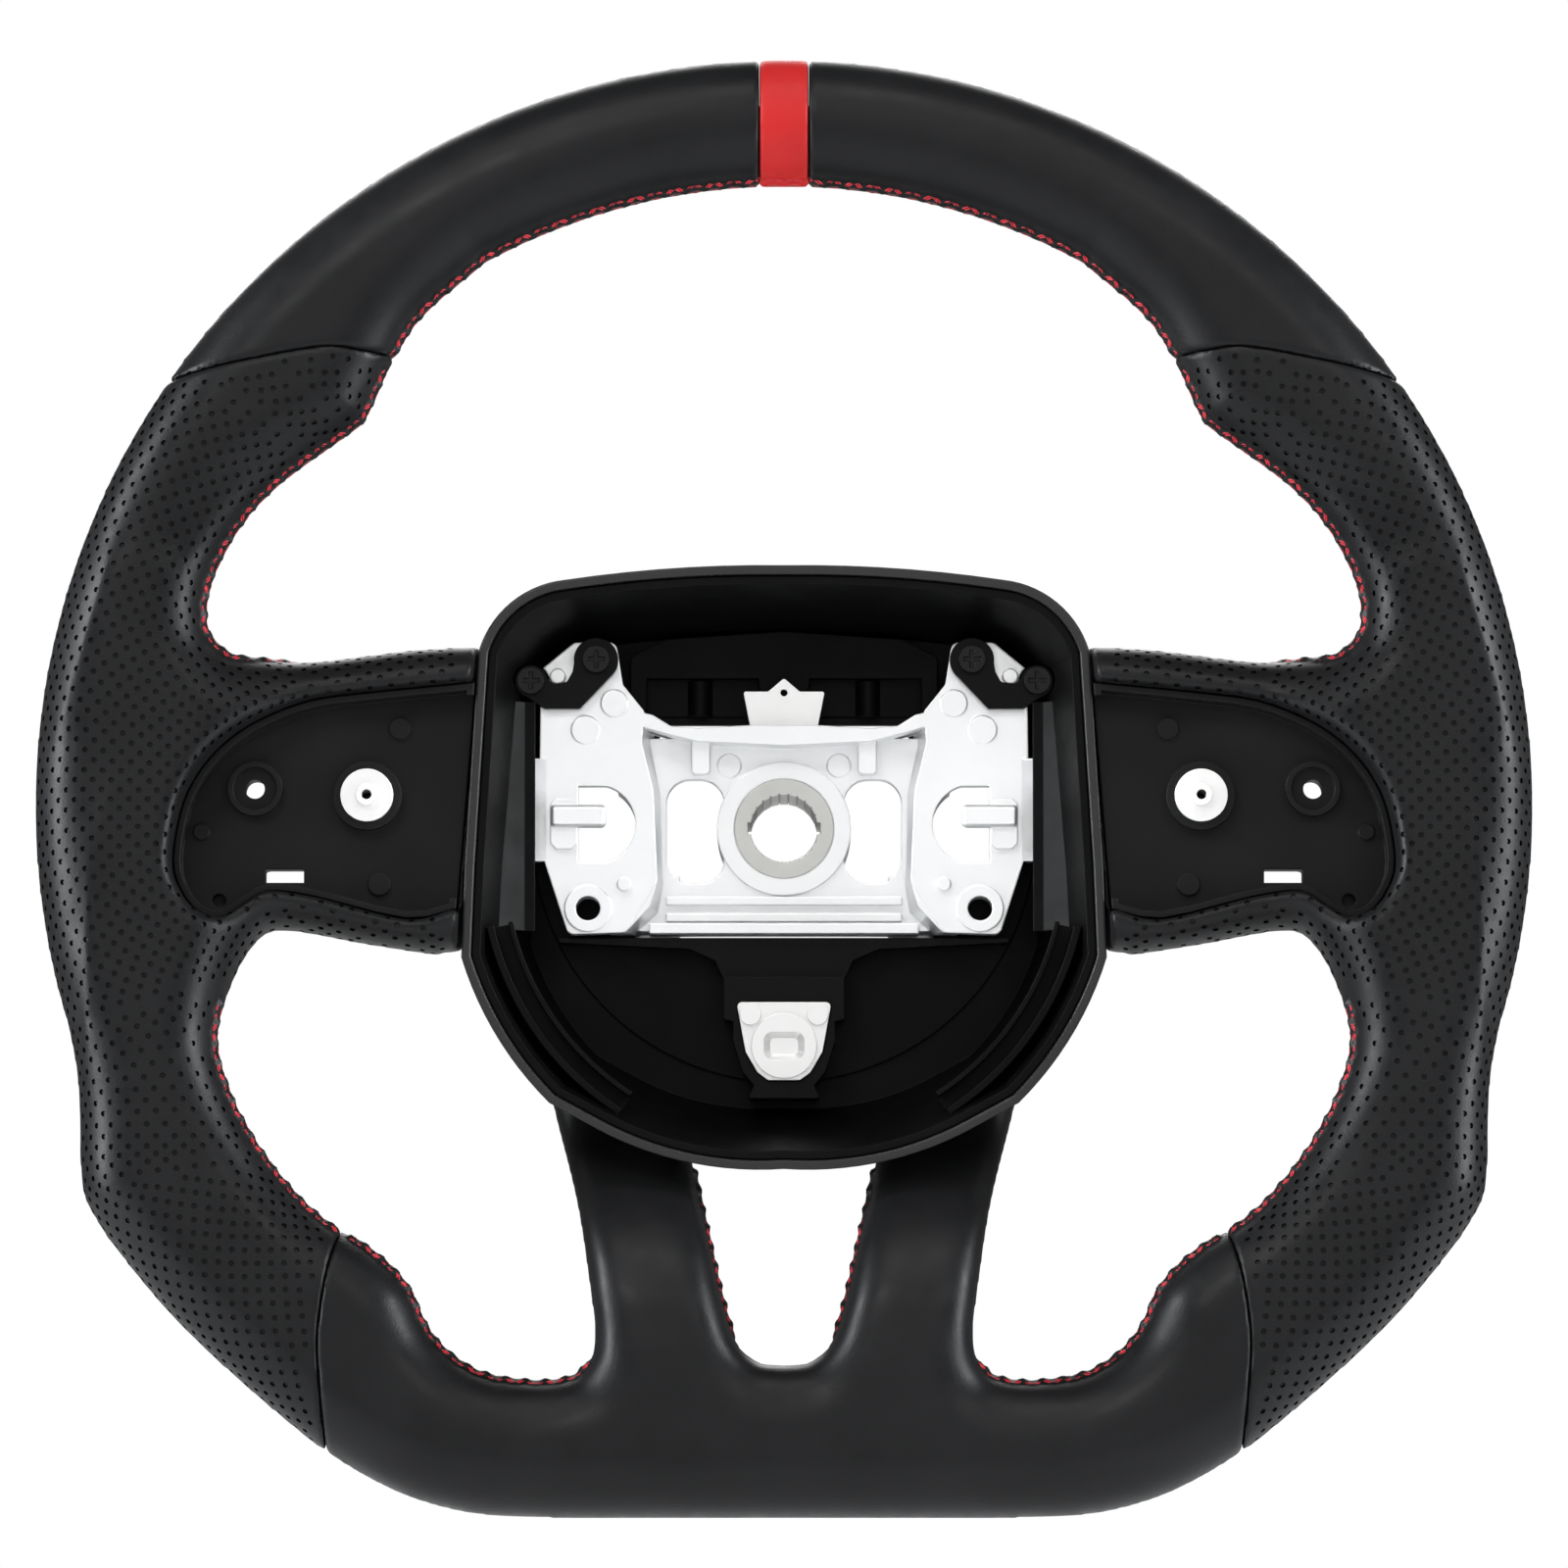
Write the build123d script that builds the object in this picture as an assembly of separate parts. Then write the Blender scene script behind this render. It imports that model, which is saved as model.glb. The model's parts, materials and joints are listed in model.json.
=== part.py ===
from build123d import *
import math
import os

os.makedirs("parts", exist_ok=True)

# Flat-bottomed leather steering wheel without its airbag. Millimetres.
# +Z is up, +X is the driver's right hand, and the driver sits on the -Y side.
# The origin is the middle of the splined hub bore, whose axis is Y.

# ---- Rim, leather and foam ----
RIM_PLANE_Y = -52.0          # middle of the rim's thickness
RIM_DEPTH = 31.0             # rim thickness, front to back
LEATHER = 1.3                # leather and its glue line
SEAM_GAP = 0.5               # groove between two leather panels
STRIPE_WIDTH = 12.4          # centre marker at the top of the rim
CORE_RADIUS = 5.0            # rim core bar
RIM_STEPS = 2                # straight stretches between two rim stations
STITCH_REACH = 0.5           # thread standing proud of the leather
STITCH_HALF_WIDTH = 1.7

# Rim stations on the right half: (outer x, z), (inner x, z), clockwise from the top.
TOP_STATIONS = [
    ((0, 190.5), (0, 159)),
    ((50, 183.7), (42, 153.2)),
    ((97, 163), (80.5, 135.3)),
    ((130, 136.5), (97.5, 120.5)),
    ((153, 109.2), (101, 115.5)),
]
GRIP_STATIONS = [
    ((153, 109.2), (101, 115.5)),
    ((162.5, 94), (107, 97.5)),
    ((172, 75), (137, 71)),
    ((181.5, 44.2), (144, 47)),
    ((186.8, -4.5), (145.5, -4)),
    ((183.2, -36.8), (140, -44)),
    ((176.3, -67), (139.5, -64)),
    ((174.5, -93.5), (129, -85.5)),
    ((148.2, -128.8), (116, -100.5)),
    ((114, -157.8), (114, -102.3)),
]
BOTTOM_STATIONS = [
    ((114, -157.8), (114, -102.3)),
    ((95, -168.8), (88, -129)),
    ((70, -174.2), (68, -141)),
    ((40, -174.8), (40, -140.5)),
    ((0, -174.8), (0, -138)),
]

# ---- Side spokes ----
SPOKE_TOP, SPOKE_BOTTOM = 41.5, -33.0
SPOKE_FRONT, SPOKE_BACK = -62.0, -30.0
SPOKE_INNER_X, SPOKE_OUTER_X = 78.5, 160.0
SPOKE_CORNER = 11.0

# ---- Lower spokes ----
LOWER_SPOKE_FRONT = [(57.5, -70), (51.5, -97), (47.5, -122), (49, -150),
                     (0.5, -150), (0.5, -138), (14.5, -125), (23.5, -84), (26, -70)]
LOWER_SPOKE_SIDE = [(-40, -70), (-62, -100), (-64, -150), (-40, -150), (-36, -106),
                    (-6, -84), (-6, -70)]

# ---- Tub: rear cover and airbag well ----
TUB_FRONT_Y = -49.0
TUB_CENTRE_Z = -10.0
TUB_TOP = [(0, 63.5), (30, 62.6), (55, 59.8)]        # slight crown
TUB_CORNER = [(55, 59.8), (69.3, 53.4), (76.5, 42)]
TUB_SIDE = [(76.5, 42), (79.8, -12), (80.7, -35)]
TUB_LOWER_SIDE = [(80.7, -35), (74, -51), (58.6, -71.5)]
TUB_BOTTOM = [(47, -77.8), (30, -84.8), (0, -88)]
COVER_BACK_Y = 14.0
COVER_SHRINK = 0.78          # back of the cover against its front edge
COVER_WALL = 2.2
WELL_FLOOR_Y = -5.0
WELL_SHRINK = 0.84
WELL_CLEARANCE = 0.5
WELL_WALL = 2.0
COLUMN_OPENING = 41.0        # radius, clears the column shroud
RAIL_RADII = [(76.4, 74.6), (70.9, 69.7)]            # curved guides inside the well
RAIL_ANGLES = (-13.0, -57.0)
RAIL_FRONT, RAIL_BACK = -45.0, -36.0
STEP_RADIUS, STEP_HEIGHT = 64.0, 1.2                 # round plateau on the well's floor

# ---- Hub ----
BORE_RADIUS = 8.5
HUB_LENGTH = 26.0
INSERT_RADIUS = 12.6
BOSS_RADIUS = 17.0
SPLINE_GROOVES = 24
GROOVE_WIDTH, GROOVE_DEPTH = 0.25, 0.4
KEY_WIDTH, KEY_DEPTH = 3.0, 0.7

# ---- Armature casting ----
PANEL_FRONT, PANEL_BACK = -14.0, -8.0
STEP_END = -8.6                 # clear of the well's floor
WING_FRONT, WING_BACK = -24.5, -19.0
FLANGE_TOP = 25.0
PLATE_BOTTOM = -27.0
WING_INNER_X = 34.0
WING_OUTLINE = [(40, -27), (32, -14), (33, 8.7), (36, 21), (35.3, 29), (40.8, 35.8),
                (42.5, 46.5), (53, 46.5), (61.5, 39.5), (62, -4.5), (54.5, -27.5)]
STEP_FRONT = [(40, -27), (34, -20.5), (32, -14), (33, 8.7), (36, 21), (36, 26),
              (42, 26), (42, 8), (42, -14), (44, -27)]      # step from wing to panel, front
STEP_BACK = [(37, -27), (31, -21.5), (30, -14), (30.6, 8.7), (33, 21), (33, 26),
             (42, 26), (42, 8), (42, -14), (44, -27)]       # the same step, at the panel
FLANGE_HALF = [(0, 25.5), (8.3, 25.5), (22, 24.7), (28.7, 25.3), (33.2, 28.1), (37, 29),
               (37, 25.5), (32.2, 24.1), (22, 21.5), (0, 20.4)]
POST = (18.9, 23.4, 13.5)                            # X from, X to, lower end
EAR_PIN = (57.2, 37.8, 1.9)
EJECTOR_MARKS = [(50.2, 24.3, 3.6, WING_FRONT), (13.9, 16.1, 3.0, PANEL_FRONT)]
MARK_HEIGHT = 0.3
D_HOLE_FLAT_X, D_HOLE_TIP_X, D_HOLE_Z, D_HOLE_HALF = 52.0, 37.5, 0.4, 9.7
CATCH_BLOCK = (52.2, 59.0, -6.0, 6.8)
CATCH_BAR = (45.0, 59.0, -0.6, 5.0)
D_VIEW = (53.6, -10.2, 12.6, 15.0)                   # X to, Z from, Z to in the well and the cover
KIDNEY_X, KIDNEY_HALF_W, KIDNEY_HALF_H, KIDNEY_Z = 22.5, 7.3, 13.3, -0.6
POST_HOLE = (49.5, -21.0, 3.1)
POST_BOSS = 5.9
PIN = (40.4, -14.9, 1.7)
LUG = (42.9, 31.0, 3.4)
RIB_X, RIB_THICK = 29.8, 2.0
RIB_LEVELS = (-18.4, -22.6)
ARM_HEIGHT = 26.0
SHROUD_PATH = [(62.8, -25.4), (66.2, -26.8), (82, -39.8), (82, -42), (65.4, -29), (62.8, -28)]
SHROUD_Z = (-27.0, 31.0)
ARM_PATH = [(60, -24.5), (66, -26), (82, -39), (150.5, -39), (160, -50), (168, -50),
            (168, -44.5), (158, -44.5), (147, -33), (79, -33), (62, -19)]
LEG_X, LEG_WIDTH = 34.0, 15.0
LEG_PATH = [(-14, -26), (-14, -12), (3, -12), (3, -72), (-1, -82), (-38, -102), (-46, -152),
            (-53, -152), (-46, -99), (-8, -77), (-3, -68), (-3, -26)]

# ---- Spoke trays ----
TRAY_OUTLINE = [(77.5, 33.5), (105, 30.8), (118, 29), (128.2, 25.4), (136.5, 20.8),
                (143.7, 14.2), (148.9, 6), (151.6, -3.5), (152.2, -14), (147.5, -22.6),
                (141, -25.2), (135.5, -22.2), (129, -18.6), (117, -20), (94.3, -25.4), (82, -23)]
TRAY_FRONT, TRAY_FLOOR, TRAY_BACK = -52.5, -44.0, -41.5
TRAY_WALL = 1.6
TRAY_MOUTH = (70.0, 85.0, -20.5, 30.5)               # the tub's side has no wall here
TRAY_CURVE_STEPS = 3
TRAY_FIT = 0.3
INSERT_SPOT = (104.4, 5.6)
INSERT_HEAD, INSERT_SLEEVE, INSERT_THREAD = 6.6, 2.7, 1.25
INSERT_FRONT = -50.0
TRAY_HOLE = (132.6, 7.5, 2.45)
TRAY_HOLE_SINK = 5.4
SKIRT_HOLE = (141.5, -20.5, 1.7)
TRAY_SLOT = (120.3, 129.9, -16.0, -12.6)
TRAY_BUTTONS = [(96.3, 22.7, 2.7), (146.0, -3.3, 2.0), (101.4, -16.5, 2.8)]

# ---- Small parts in the tub ----
BRACKET_LOBE = (47.5, 41.8, 5.6)
BRACKET_FOOT = [(42.4, 39.1), (51.6, 29.4), (60.5, 29.4), (66.2, 33.2), (64, 40.2),
                (60.6, 37.6), (58, 35.6), (54.8, 36.2), (53.4, 38.8), (52.6, 44)]
BRACKET_FRONT, BRACKET_BACK = -27.5, -24.5
COVER_SCREW = (64.0, 36.4)
SCREW_BOSS = 4.4
REAR_SCREWS = [(50, 24), (47, -40)]
SCREW_HEAD, SCREW_SHANK = 3.4, 1.8
HEAD_HEIGHT = 2.4
RECESS_LENGTH, RECESS_WIDTH, RECESS_DEPTH = 4.4, 1.1, 1.2
LOCATOR_OUTLINE = [(-10.3, 34.3), (-4, 34.3), (0, 37.7), (4, 34.3), (10.3, 34.3),
                   (8.6, 25.6), (-8.6, 25.6)]
LOCATOR_FRONT, LOCATOR_BACK = -21.5, -19.5
CATCH_Z = -55.6
CATCH_PLATE = [(-12, -44.5), (12, -44.5), (9.7, -57), (6.7, -62.2), (4, -64.2), (-4, -64.2),
               (-6.7, -62.2), (-9.7, -57)]
CATCH_THICKNESS = 3.5
CATCH_BUTTON = (8.5, -47.6, 2.7)
CATCH_FRAME_HALF = [(57, -27.8), (57, -29), (24, -30.6), (17.5, -33.5), (15.3, -38.5),
                    (15.3, -48.7), (12.8, -49.2), (13, -54), (10.5, -62), (7.6, -65.5),
                    (9.2, -68.8)]
CATCH_FRONT = -22.0
BUSH_FLANGE, BUSH_RADIUS = 8.2, 6.4
BUSH_PROUD, BUSH_SEAT = 1.4, 1.5
SOCKET_MOUTH, SOCKET_FLOOR = (10.3, 7.0, 2.2), (7.1, 4.1, 1.2)    # width, height, corner
SOCKET_DEPTH = 2.0


def plate(face, y_front, y_back):
    """Solid between two depths. The face is drawn as (x, z)."""
    return extrude(Plane.XZ.offset(-y_back) * face, amount=y_back - y_front)


def outline(points, radius):
    """Face inside a polygon with every corner rounded."""
    if radius == 0:
        return make_face(Polyline(*points, close=True))
    return make_face(FilletPolyline(*points, radius=radius, close=True))


def curved(points, steps):
    """Points of a smooth open line through the given ones."""
    rows = []
    for index in range(len(points) - 1):
        row = [points[max(index - 1, 0)], points[index], points[index + 1],
               points[min(index + 2, len(points) - 1)]]
        for step in range(steps):
            rows.append(tuple(eased(*(entry[axis] for entry in row), step / steps)
                              for axis in (0, 1)))
    return rows + [points[-1]]


def rod(x, z, radius, y_front, y_back):
    return plate(Pos(x, z) * Circle(radius), y_front, y_back)


def block(x0, x1, y0, y1, z0, z1):
    middle = Pos((x0 + x1) / 2, (y0 + y1) / 2, (z0 + z1) / 2)
    return middle * Box(x1 - x0, y1 - y0, z1 - z0)


def other_side(shape):
    return mirror(shape, about=Plane.YZ)


def both_sides(shape):
    return shape + other_side(shape)


# ---- Rim sections ----
def station_plane(station):
    (x_out, z_out), (x_in, z_in) = station
    width = math.hypot(x_out - x_in, z_out - z_in)
    out_x = (x_out - x_in) / width
    out_z = (z_out - z_in) / width
    centre = ((x_out + x_in) / 2, RIM_PLANE_Y, (z_out + z_in) / 2)
    plane = Plane(origin=centre, x_dir=(out_x, 0, out_z), z_dir=(-out_z, 0, out_x))
    return plane, width


def eased(before, start, end, after, share):
    """Catmull-Rom value between two stations, one coordinate at a time."""
    square, cube = share ** 2, share ** 3
    return 0.5 * (2 * start + (end - before) * share
                  + (2 * before - 5 * start + 4 * end - after) * square
                  + (3 * start - before - 3 * end + after) * cube)


def between(stations, index, share):
    row = [stations[max(index - 1, 0)], stations[index], stations[index + 1],
           stations[min(index + 2, len(stations) - 1)]]
    station = []
    for side in (0, 1):
        point = [eased(*(entry[side][axis] for entry in row), share) for axis in (0, 1)]
        station.append(tuple(point))
    return tuple(station)


def finer(stations):
    """The stations with extra ones between them, so that straight walls follow the curve."""
    rows = []
    for index in range(len(stations) - 1):
        rows += [between(stations, index, step / RIM_STEPS) for step in range(RIM_STEPS)]
    return rows + [stations[-1]]


def rim_loft(stations, inset):
    sections = []
    for station in finer(stations):
        plane, width = station_plane(station)
        sections.append(plane * Ellipse(width / 2 - inset, RIM_DEPTH / 2 - inset))
    return loft(sections, ruled=True)


def ring_loft(stations, radius):
    """A round bar along the middle of the rim."""
    planes = [station_plane(station)[0] for station in finer(stations)]
    return loft([plane * Circle(radius) for plane in planes], ruled=True)


def stitch_loft(stations):
    """A thin band of thread along the inner edge of the rim."""
    sections = []
    for station in finer(stations):
        plane, width = station_plane(station)
        edge = plane * Pos(-width / 2 - STITCH_REACH - 0.1, 0)
        sections.append(edge * Ellipse(STITCH_REACH, STITCH_HALF_WIDTH))
    return loft(sections, ruled=True)


def across_bottom(stations):
    left = [((-o[0], o[1]), (-i[0], i[1])) for o, i in reversed(stations[:-1])]
    return stations + left


def seam_slab(station):
    return station_plane(station)[0] * Box(120, 60, SEAM_GAP)


# ---- Tub shapes ----
def tub_outline():
    """Mouth of the tub: crowned top, straight sides and round lower corners."""
    half = [
        ThreePointArc(*TUB_TOP),
        ThreePointArc(*TUB_CORNER),
        Polyline(*TUB_SIDE),
        ThreePointArc(*TUB_LOWER_SIDE),
        Line(TUB_LOWER_SIDE[-1], TUB_BOTTOM[0]),
        ThreePointArc(*TUB_BOTTOM),
    ]
    other = [mirror(piece, about=Plane.YZ) for piece in half]
    return make_face(half + other)


def tub_loft(inset, shrink, y_front, y_back):
    """Solid with drafted walls; its back outline is the front one made smaller."""
    face = tub_outline()
    if inset:
        face = offset(face, -inset)
    smaller = Pos(0, TUB_CENTRE_Z) * scale(Pos(0, -TUB_CENTRE_Z) * face, shrink)
    return loft([Plane.XZ.offset(-y_front) * face, Plane.XZ.offset(-y_back) * smaller],
                ruled=True)


def sector(outer, inner, start, stop):
    """Ring sector about the tub's centre, angles from +X."""
    centre = (0, TUB_CENTRE_Z)

    def at(radius, angle):
        turn = math.radians(angle)
        return (radius * math.cos(turn), centre[1] + radius * math.sin(turn))

    middle = (start + stop) / 2
    edges = [
        ThreePointArc(at(outer, start), at(outer, middle), at(outer, stop)),
        Line(at(outer, stop), at(inner, stop)),
        ThreePointArc(at(inner, stop), at(inner, middle), at(inner, start)),
        Line(at(inner, start), at(outer, start)),
    ]
    return make_face(edges)


# ---- Armature ----
def arm(grow=0.0):
    """Cast arm from the hub plate to the rim at three o'clock."""
    half = ARM_HEIGHT / 2 + grow
    shape = outline(ARM_PATH, 0)
    if grow:
        shape = offset(shape, grow)
    return extrude(Plane.XY.offset(4 - half) * shape, amount=2 * half)


def leg(grow=0.0):
    """Cast leg from the hub plate down to the flat bottom of the rim."""
    half = LEG_WIDTH / 2 + grow
    shape = outline(LEG_PATH, 0)
    if grow:
        shape = offset(shape, grow)
    return extrude(Plane.YZ.offset(LEG_X - half) * shape, amount=2 * half)


def d_hole():
    """Window for a spring hook: flat on the outer side, round to the middle."""
    reach = D_HOLE_FLAT_X - D_HOLE_TIP_X
    low, high = D_HOLE_Z - D_HOLE_HALF, D_HOLE_Z + D_HOLE_HALF
    edges = [
        Line((D_HOLE_FLAT_X, low), (D_HOLE_FLAT_X, high)),
        Line((D_HOLE_FLAT_X, high), (D_HOLE_FLAT_X - reach / 2, high)),
        ThreePointArc((D_HOLE_FLAT_X - reach / 2, high), (D_HOLE_TIP_X, D_HOLE_Z),
                      (D_HOLE_FLAT_X - reach / 2, low)),
        Line((D_HOLE_FLAT_X - reach / 2, low), (D_HOLE_FLAT_X, low)),
    ]
    return plate(make_face(edges), -40, 0)


def kidney():
    """Slot beside the hub: straight outside, drawn in round the hub."""
    slot = Pos(KIDNEY_X, KIDNEY_Z) * RectangleRounded(2 * KIDNEY_HALF_W, 2 * KIDNEY_HALF_H, 6)
    return plate(slot - Circle(BOSS_RADIUS), -40, 0)


def right_wing():
    wing = plate(outline(WING_OUTLINE, 2.0), WING_FRONT, WING_BACK)
    ends = [Plane.XZ.offset(-y) * outline(points, 0)
            for points, y in ((STEP_FRONT, WING_FRONT + 0.4), (STEP_BACK, STEP_END))]
    wing += loft(ends, ruled=True)
    wing += rod(POST_HOLE[0], POST_HOLE[1], POST_BOSS, WING_FRONT - 1.2, WING_BACK + 4)
    wing += rod(LUG[0], LUG[1], LUG[2], WING_FRONT - 0.8, WING_FRONT)
    wing -= d_hole()
    wing -= rod(POST_HOLE[0], POST_HOLE[1], POST_HOLE[2], -40, 0)
    wing -= rod(BRACKET_LOBE[0], BRACKET_LOBE[1], SCREW_SHANK, -40, 0)
    wing -= rod(COVER_SCREW[0], COVER_SCREW[1], SCREW_BOSS + 0.3, -40, 0)
    wing += rod(PIN[0], PIN[1], PIN[2], WING_FRONT - 2.5, WING_FRONT)
    wing += rod(EAR_PIN[0], EAR_PIN[1], EAR_PIN[2], WING_FRONT - 1.5, WING_FRONT)
    for x, z, radius, surface in EJECTOR_MARKS:
        wing += rod(x, z, radius, surface - MARK_HEIGHT, surface + 1)
    x0, x1, low = POST
    post = Pos((x0 + x1) / 2, (low + FLANGE_TOP) / 2 - 1)
    post *= RectangleRounded(x1 - x0, FLANGE_TOP - low - 2, 1.2)
    wing += plate(post, PANEL_FRONT - 6.5, PANEL_FRONT)
    return wing


def armature_casting():
    body = block(-WING_INNER_X, WING_INNER_X, PANEL_FRONT, PANEL_BACK,
                 PLATE_BOTTOM, FLANGE_TOP - 2)
    left = [(-x, z) for x, z in reversed(FLANGE_HALF[1:-1])]
    flange = outline(FLANGE_HALF + left, 0)
    body += plate(flange, WING_FRONT, STEP_END)
    body += block(-WING_INNER_X, WING_INNER_X, WING_FRONT + 3, PANEL_BACK,
                  PLATE_BOTTOM, PLATE_BOTTOM + 2.5)
    for level in RIB_LEVELS:
        body += block(-RIB_X, RIB_X, PANEL_FRONT - 2.5, PANEL_FRONT,
                      level - RIB_THICK / 2, level + RIB_THICK / 2)
    body += rod(0, 0, BOSS_RADIUS, PANEL_FRONT - 1.5, HUB_LENGTH / 2 - 1)
    body -= kidney()
    body -= other_side(kidney())
    half = right_wing() + (arm() - sight_hole()) + leg()
    body = body + half + other_side(half)
    body -= rod(0, 0, INSERT_RADIUS, -40, 40)
    return body


def catch_pin():
    """Fixed catch in the D window: a block on the wing and a bar across the window."""
    x0, x1, z0, z1 = CATCH_BLOCK
    face = Pos((x0 + x1) / 2, (z0 + z1) / 2) * Rectangle(x1 - x0, z1 - z0)
    body = plate(chamfer(face.vertices(), 1.4), WING_FRONT - 2.2, WING_FRONT)
    x0, x1, z0, z1 = CATCH_BAR
    face = Pos((x0 + x1) / 2, (z0 + z1) / 2) * RectangleRounded(x1 - x0, z1 - z0, 1.2)
    bar = plate(face, WING_FRONT - 4.5, WING_FRONT - 0.5)
    return body + chamfer(bar.faces().sort_by(Axis.Y)[0].edges(), 0.8)


def hub_spline_insert():
    body = rod(0, 0, INSERT_RADIUS, -HUB_LENGTH / 2 - 3, HUB_LENGTH / 2)
    body -= rod(0, 0, BORE_RADIUS, -40, 40)
    for index in range(SPLINE_GROOVES):
        angle = 360 / SPLINE_GROOVES * (index + 0.5)
        groove = Rot(0, angle, 0) * Pos(BORE_RADIUS, 0, 0)
        body -= groove * Box(2 * GROOVE_DEPTH, 60, GROOVE_WIDTH)
    for side in (-1, 1):
        body -= Pos(side * BORE_RADIUS, 0, 0) * Box(2 * KEY_DEPTH, 60, KEY_WIDTH)
    return body


# ---- Foam and leather ----
def spoke_block(inset):
    """Side spoke body with rounded edges, before the tray pocket is cut."""
    height = SPOKE_TOP - SPOKE_BOTTOM - 2 * inset
    depth = SPOKE_BACK - SPOKE_FRONT - 2 * inset
    centre = Pos((SPOKE_FRONT + SPOKE_BACK) / 2, (SPOKE_TOP + SPOKE_BOTTOM) / 2)
    face = centre * RectangleRounded(depth, height, SPOKE_CORNER - inset)
    length = SPOKE_OUTER_X - SPOKE_INNER_X - inset
    return extrude(Plane.YZ.offset(SPOKE_INNER_X) * face, amount=length)


def tray_face():
    return outline(curved(TRAY_OUTLINE, TRAY_CURVE_STEPS), 0)


def tray_pocket():
    return plate(offset(tray_face(), TRAY_FIT), -80, TRAY_BACK + TRAY_FIT)


def sight_hole():
    """Way through the spoke behind the tray's round hole."""
    x, z, radius = TRAY_HOLE
    return rod(x, z, radius + TRAY_FIT, TRAY_FLOOR, 0)


def sight_slot():
    """Way through the spoke behind the tray's slot."""
    x0, x1, z0, z1 = TRAY_SLOT
    return block(x0 - TRAY_FIT, x1 + TRAY_FIT, TRAY_FLOOR, 0, z0 - TRAY_FIT, z1 + TRAY_FIT)


def lower_spoke(inset):
    front = outline(LOWER_SPOKE_FRONT, 0)
    side = outline(LOWER_SPOKE_SIDE, 0)
    if inset:
        front = offset(front, -inset, kind=Kind.INTERSECTION)
        side = offset(side, -inset, kind=Kind.INTERSECTION)
    return plate(front, -80, 10) & extrude(Plane.YZ.offset(-5) * side, amount=80)


def lower_spokes(inset):
    right = lower_spoke(inset)
    return right + other_side(right)


tub_space = tub_loft(-0.4, COVER_SHRINK, TUB_FRONT_Y, COVER_BACK_Y)
bottom_row = across_bottom(BOTTOM_STATIONS)


def rim_core_ring():
    half = ring_loft(TOP_STATIONS, CORE_RADIUS) + ring_loft(GRIP_STATIONS, CORE_RADIUS)
    return both_sides(half) + ring_loft(bottom_row, CORE_RADIUS)


def foam_top():
    half = rim_loft(TOP_STATIONS, LEATHER) - ring_loft(TOP_STATIONS, CORE_RADIUS)
    return both_sides(half)


def foam_grip():
    """Right grip and side spoke, cut round the casting's arm and the tray."""
    rim = rim_loft(GRIP_STATIONS, LEATHER) - ring_loft(GRIP_STATIONS, CORE_RADIUS)
    rim = rim - arm(0.05) - tray_pocket()
    spoke = spoke_block(LEATHER) - ring_loft(GRIP_STATIONS, CORE_RADIUS)
    spoke = spoke - tray_pocket() - arm(0.05) - tub_space
    return rim + spoke - sight_hole() - sight_slot()


def foam_bottom():
    """Flat bottom of the rim and both lower spokes, cut round the casting's legs."""
    legs = both_sides(leg(0.05))
    rim = rim_loft(bottom_row, LEATHER) - ring_loft(bottom_row, CORE_RADIUS) - legs
    return rim + (lower_spokes(LEATHER) - tub_space - legs)


def leather_top():
    shell = rim_loft(TOP_STATIONS, 0) - rim_loft(TOP_STATIONS, LEATHER)
    shell = shell - block(-20, STRIPE_WIDTH / 2 + SEAM_GAP, -90, 0, 100, 250)
    return shell - seam_slab(TOP_STATIONS[-1])


def leather_centre_stripe():
    shell = rim_loft(TOP_STATIONS, 0) - rim_loft(TOP_STATIONS, LEATHER)
    return both_sides(shell & block(0, STRIPE_WIDTH / 2, -90, 0, 100, 250))


def leather_grip():
    rim = rim_loft(GRIP_STATIONS, 0) - rim_loft(GRIP_STATIONS, LEATHER)
    rim = rim - spoke_block(LEATHER) - tray_pocket()
    rim = rim - seam_slab(GRIP_STATIONS[0]) - seam_slab(GRIP_STATIONS[-1])
    spoke = spoke_block(0) - spoke_block(LEATHER) - rim_loft(GRIP_STATIONS, 0)
    spoke = spoke - tray_pocket() - tub_space
    return rim + spoke - sight_hole() - sight_slot()


def leather_bottom():
    outer = rim_loft(bottom_row, 0) + lower_spokes(0)
    inner = rim_loft(bottom_row, LEATHER) + lower_spokes(LEATHER)
    return outer - inner - tub_space - both_sides(leg(0.3))


# ---- Tub ----
def d_view(top):
    """Clear way behind both D windows, up to a height."""
    reach, low = D_VIEW[:2]
    return plate(Pos(0, (low + top) / 2) * RectangleRounded(2 * reach, top - low, 4), -60, 60)


def rear_cover():
    body = tub_loft(0, COVER_SHRINK, TUB_FRONT_Y, COVER_BACK_Y)
    depth = COVER_BACK_Y - TUB_FRONT_Y
    inner_back = COVER_BACK_Y - COVER_WALL
    inner_shrink = 1 - (1 - COVER_SHRINK) * (inner_back - TUB_FRONT_Y) / depth
    body -= tub_loft(COVER_WALL, inner_shrink, TUB_FRONT_Y, inner_back)
    body -= rod(0, 0, COLUMN_OPENING, -60, 60)
    body -= d_view(D_VIEW[3])
    for x, z in REAR_SCREWS:
        body -= both_sides(rod(x, z, SCREW_SHANK, 0, 60))
    for cut in (arm(0.5), leg(0.5)):
        body -= both_sides(cut)
    return body


def well_roof():
    """Raised shelf above the hub plate, with a lower step, a bump and two posts."""
    shelf = outline([(-39, 29), (-39, 44), (-30, 48.5), (0, 50.5), (30, 48.5), (39, 44),
                     (39, 29)], 2)
    body = plate(shelf, -13, WELL_FLOOR_Y)
    step = Pos(0, 33.5) * Rectangle(70, 10) - Pos(0, 38) * Circle(6.5)
    body -= plate(step, -14, -9)
    for side in (-1, 1):
        post = Pos(side * 21.3, -9, 33.5) * Cylinder(3, 9)
        body += post
    return body


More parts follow.
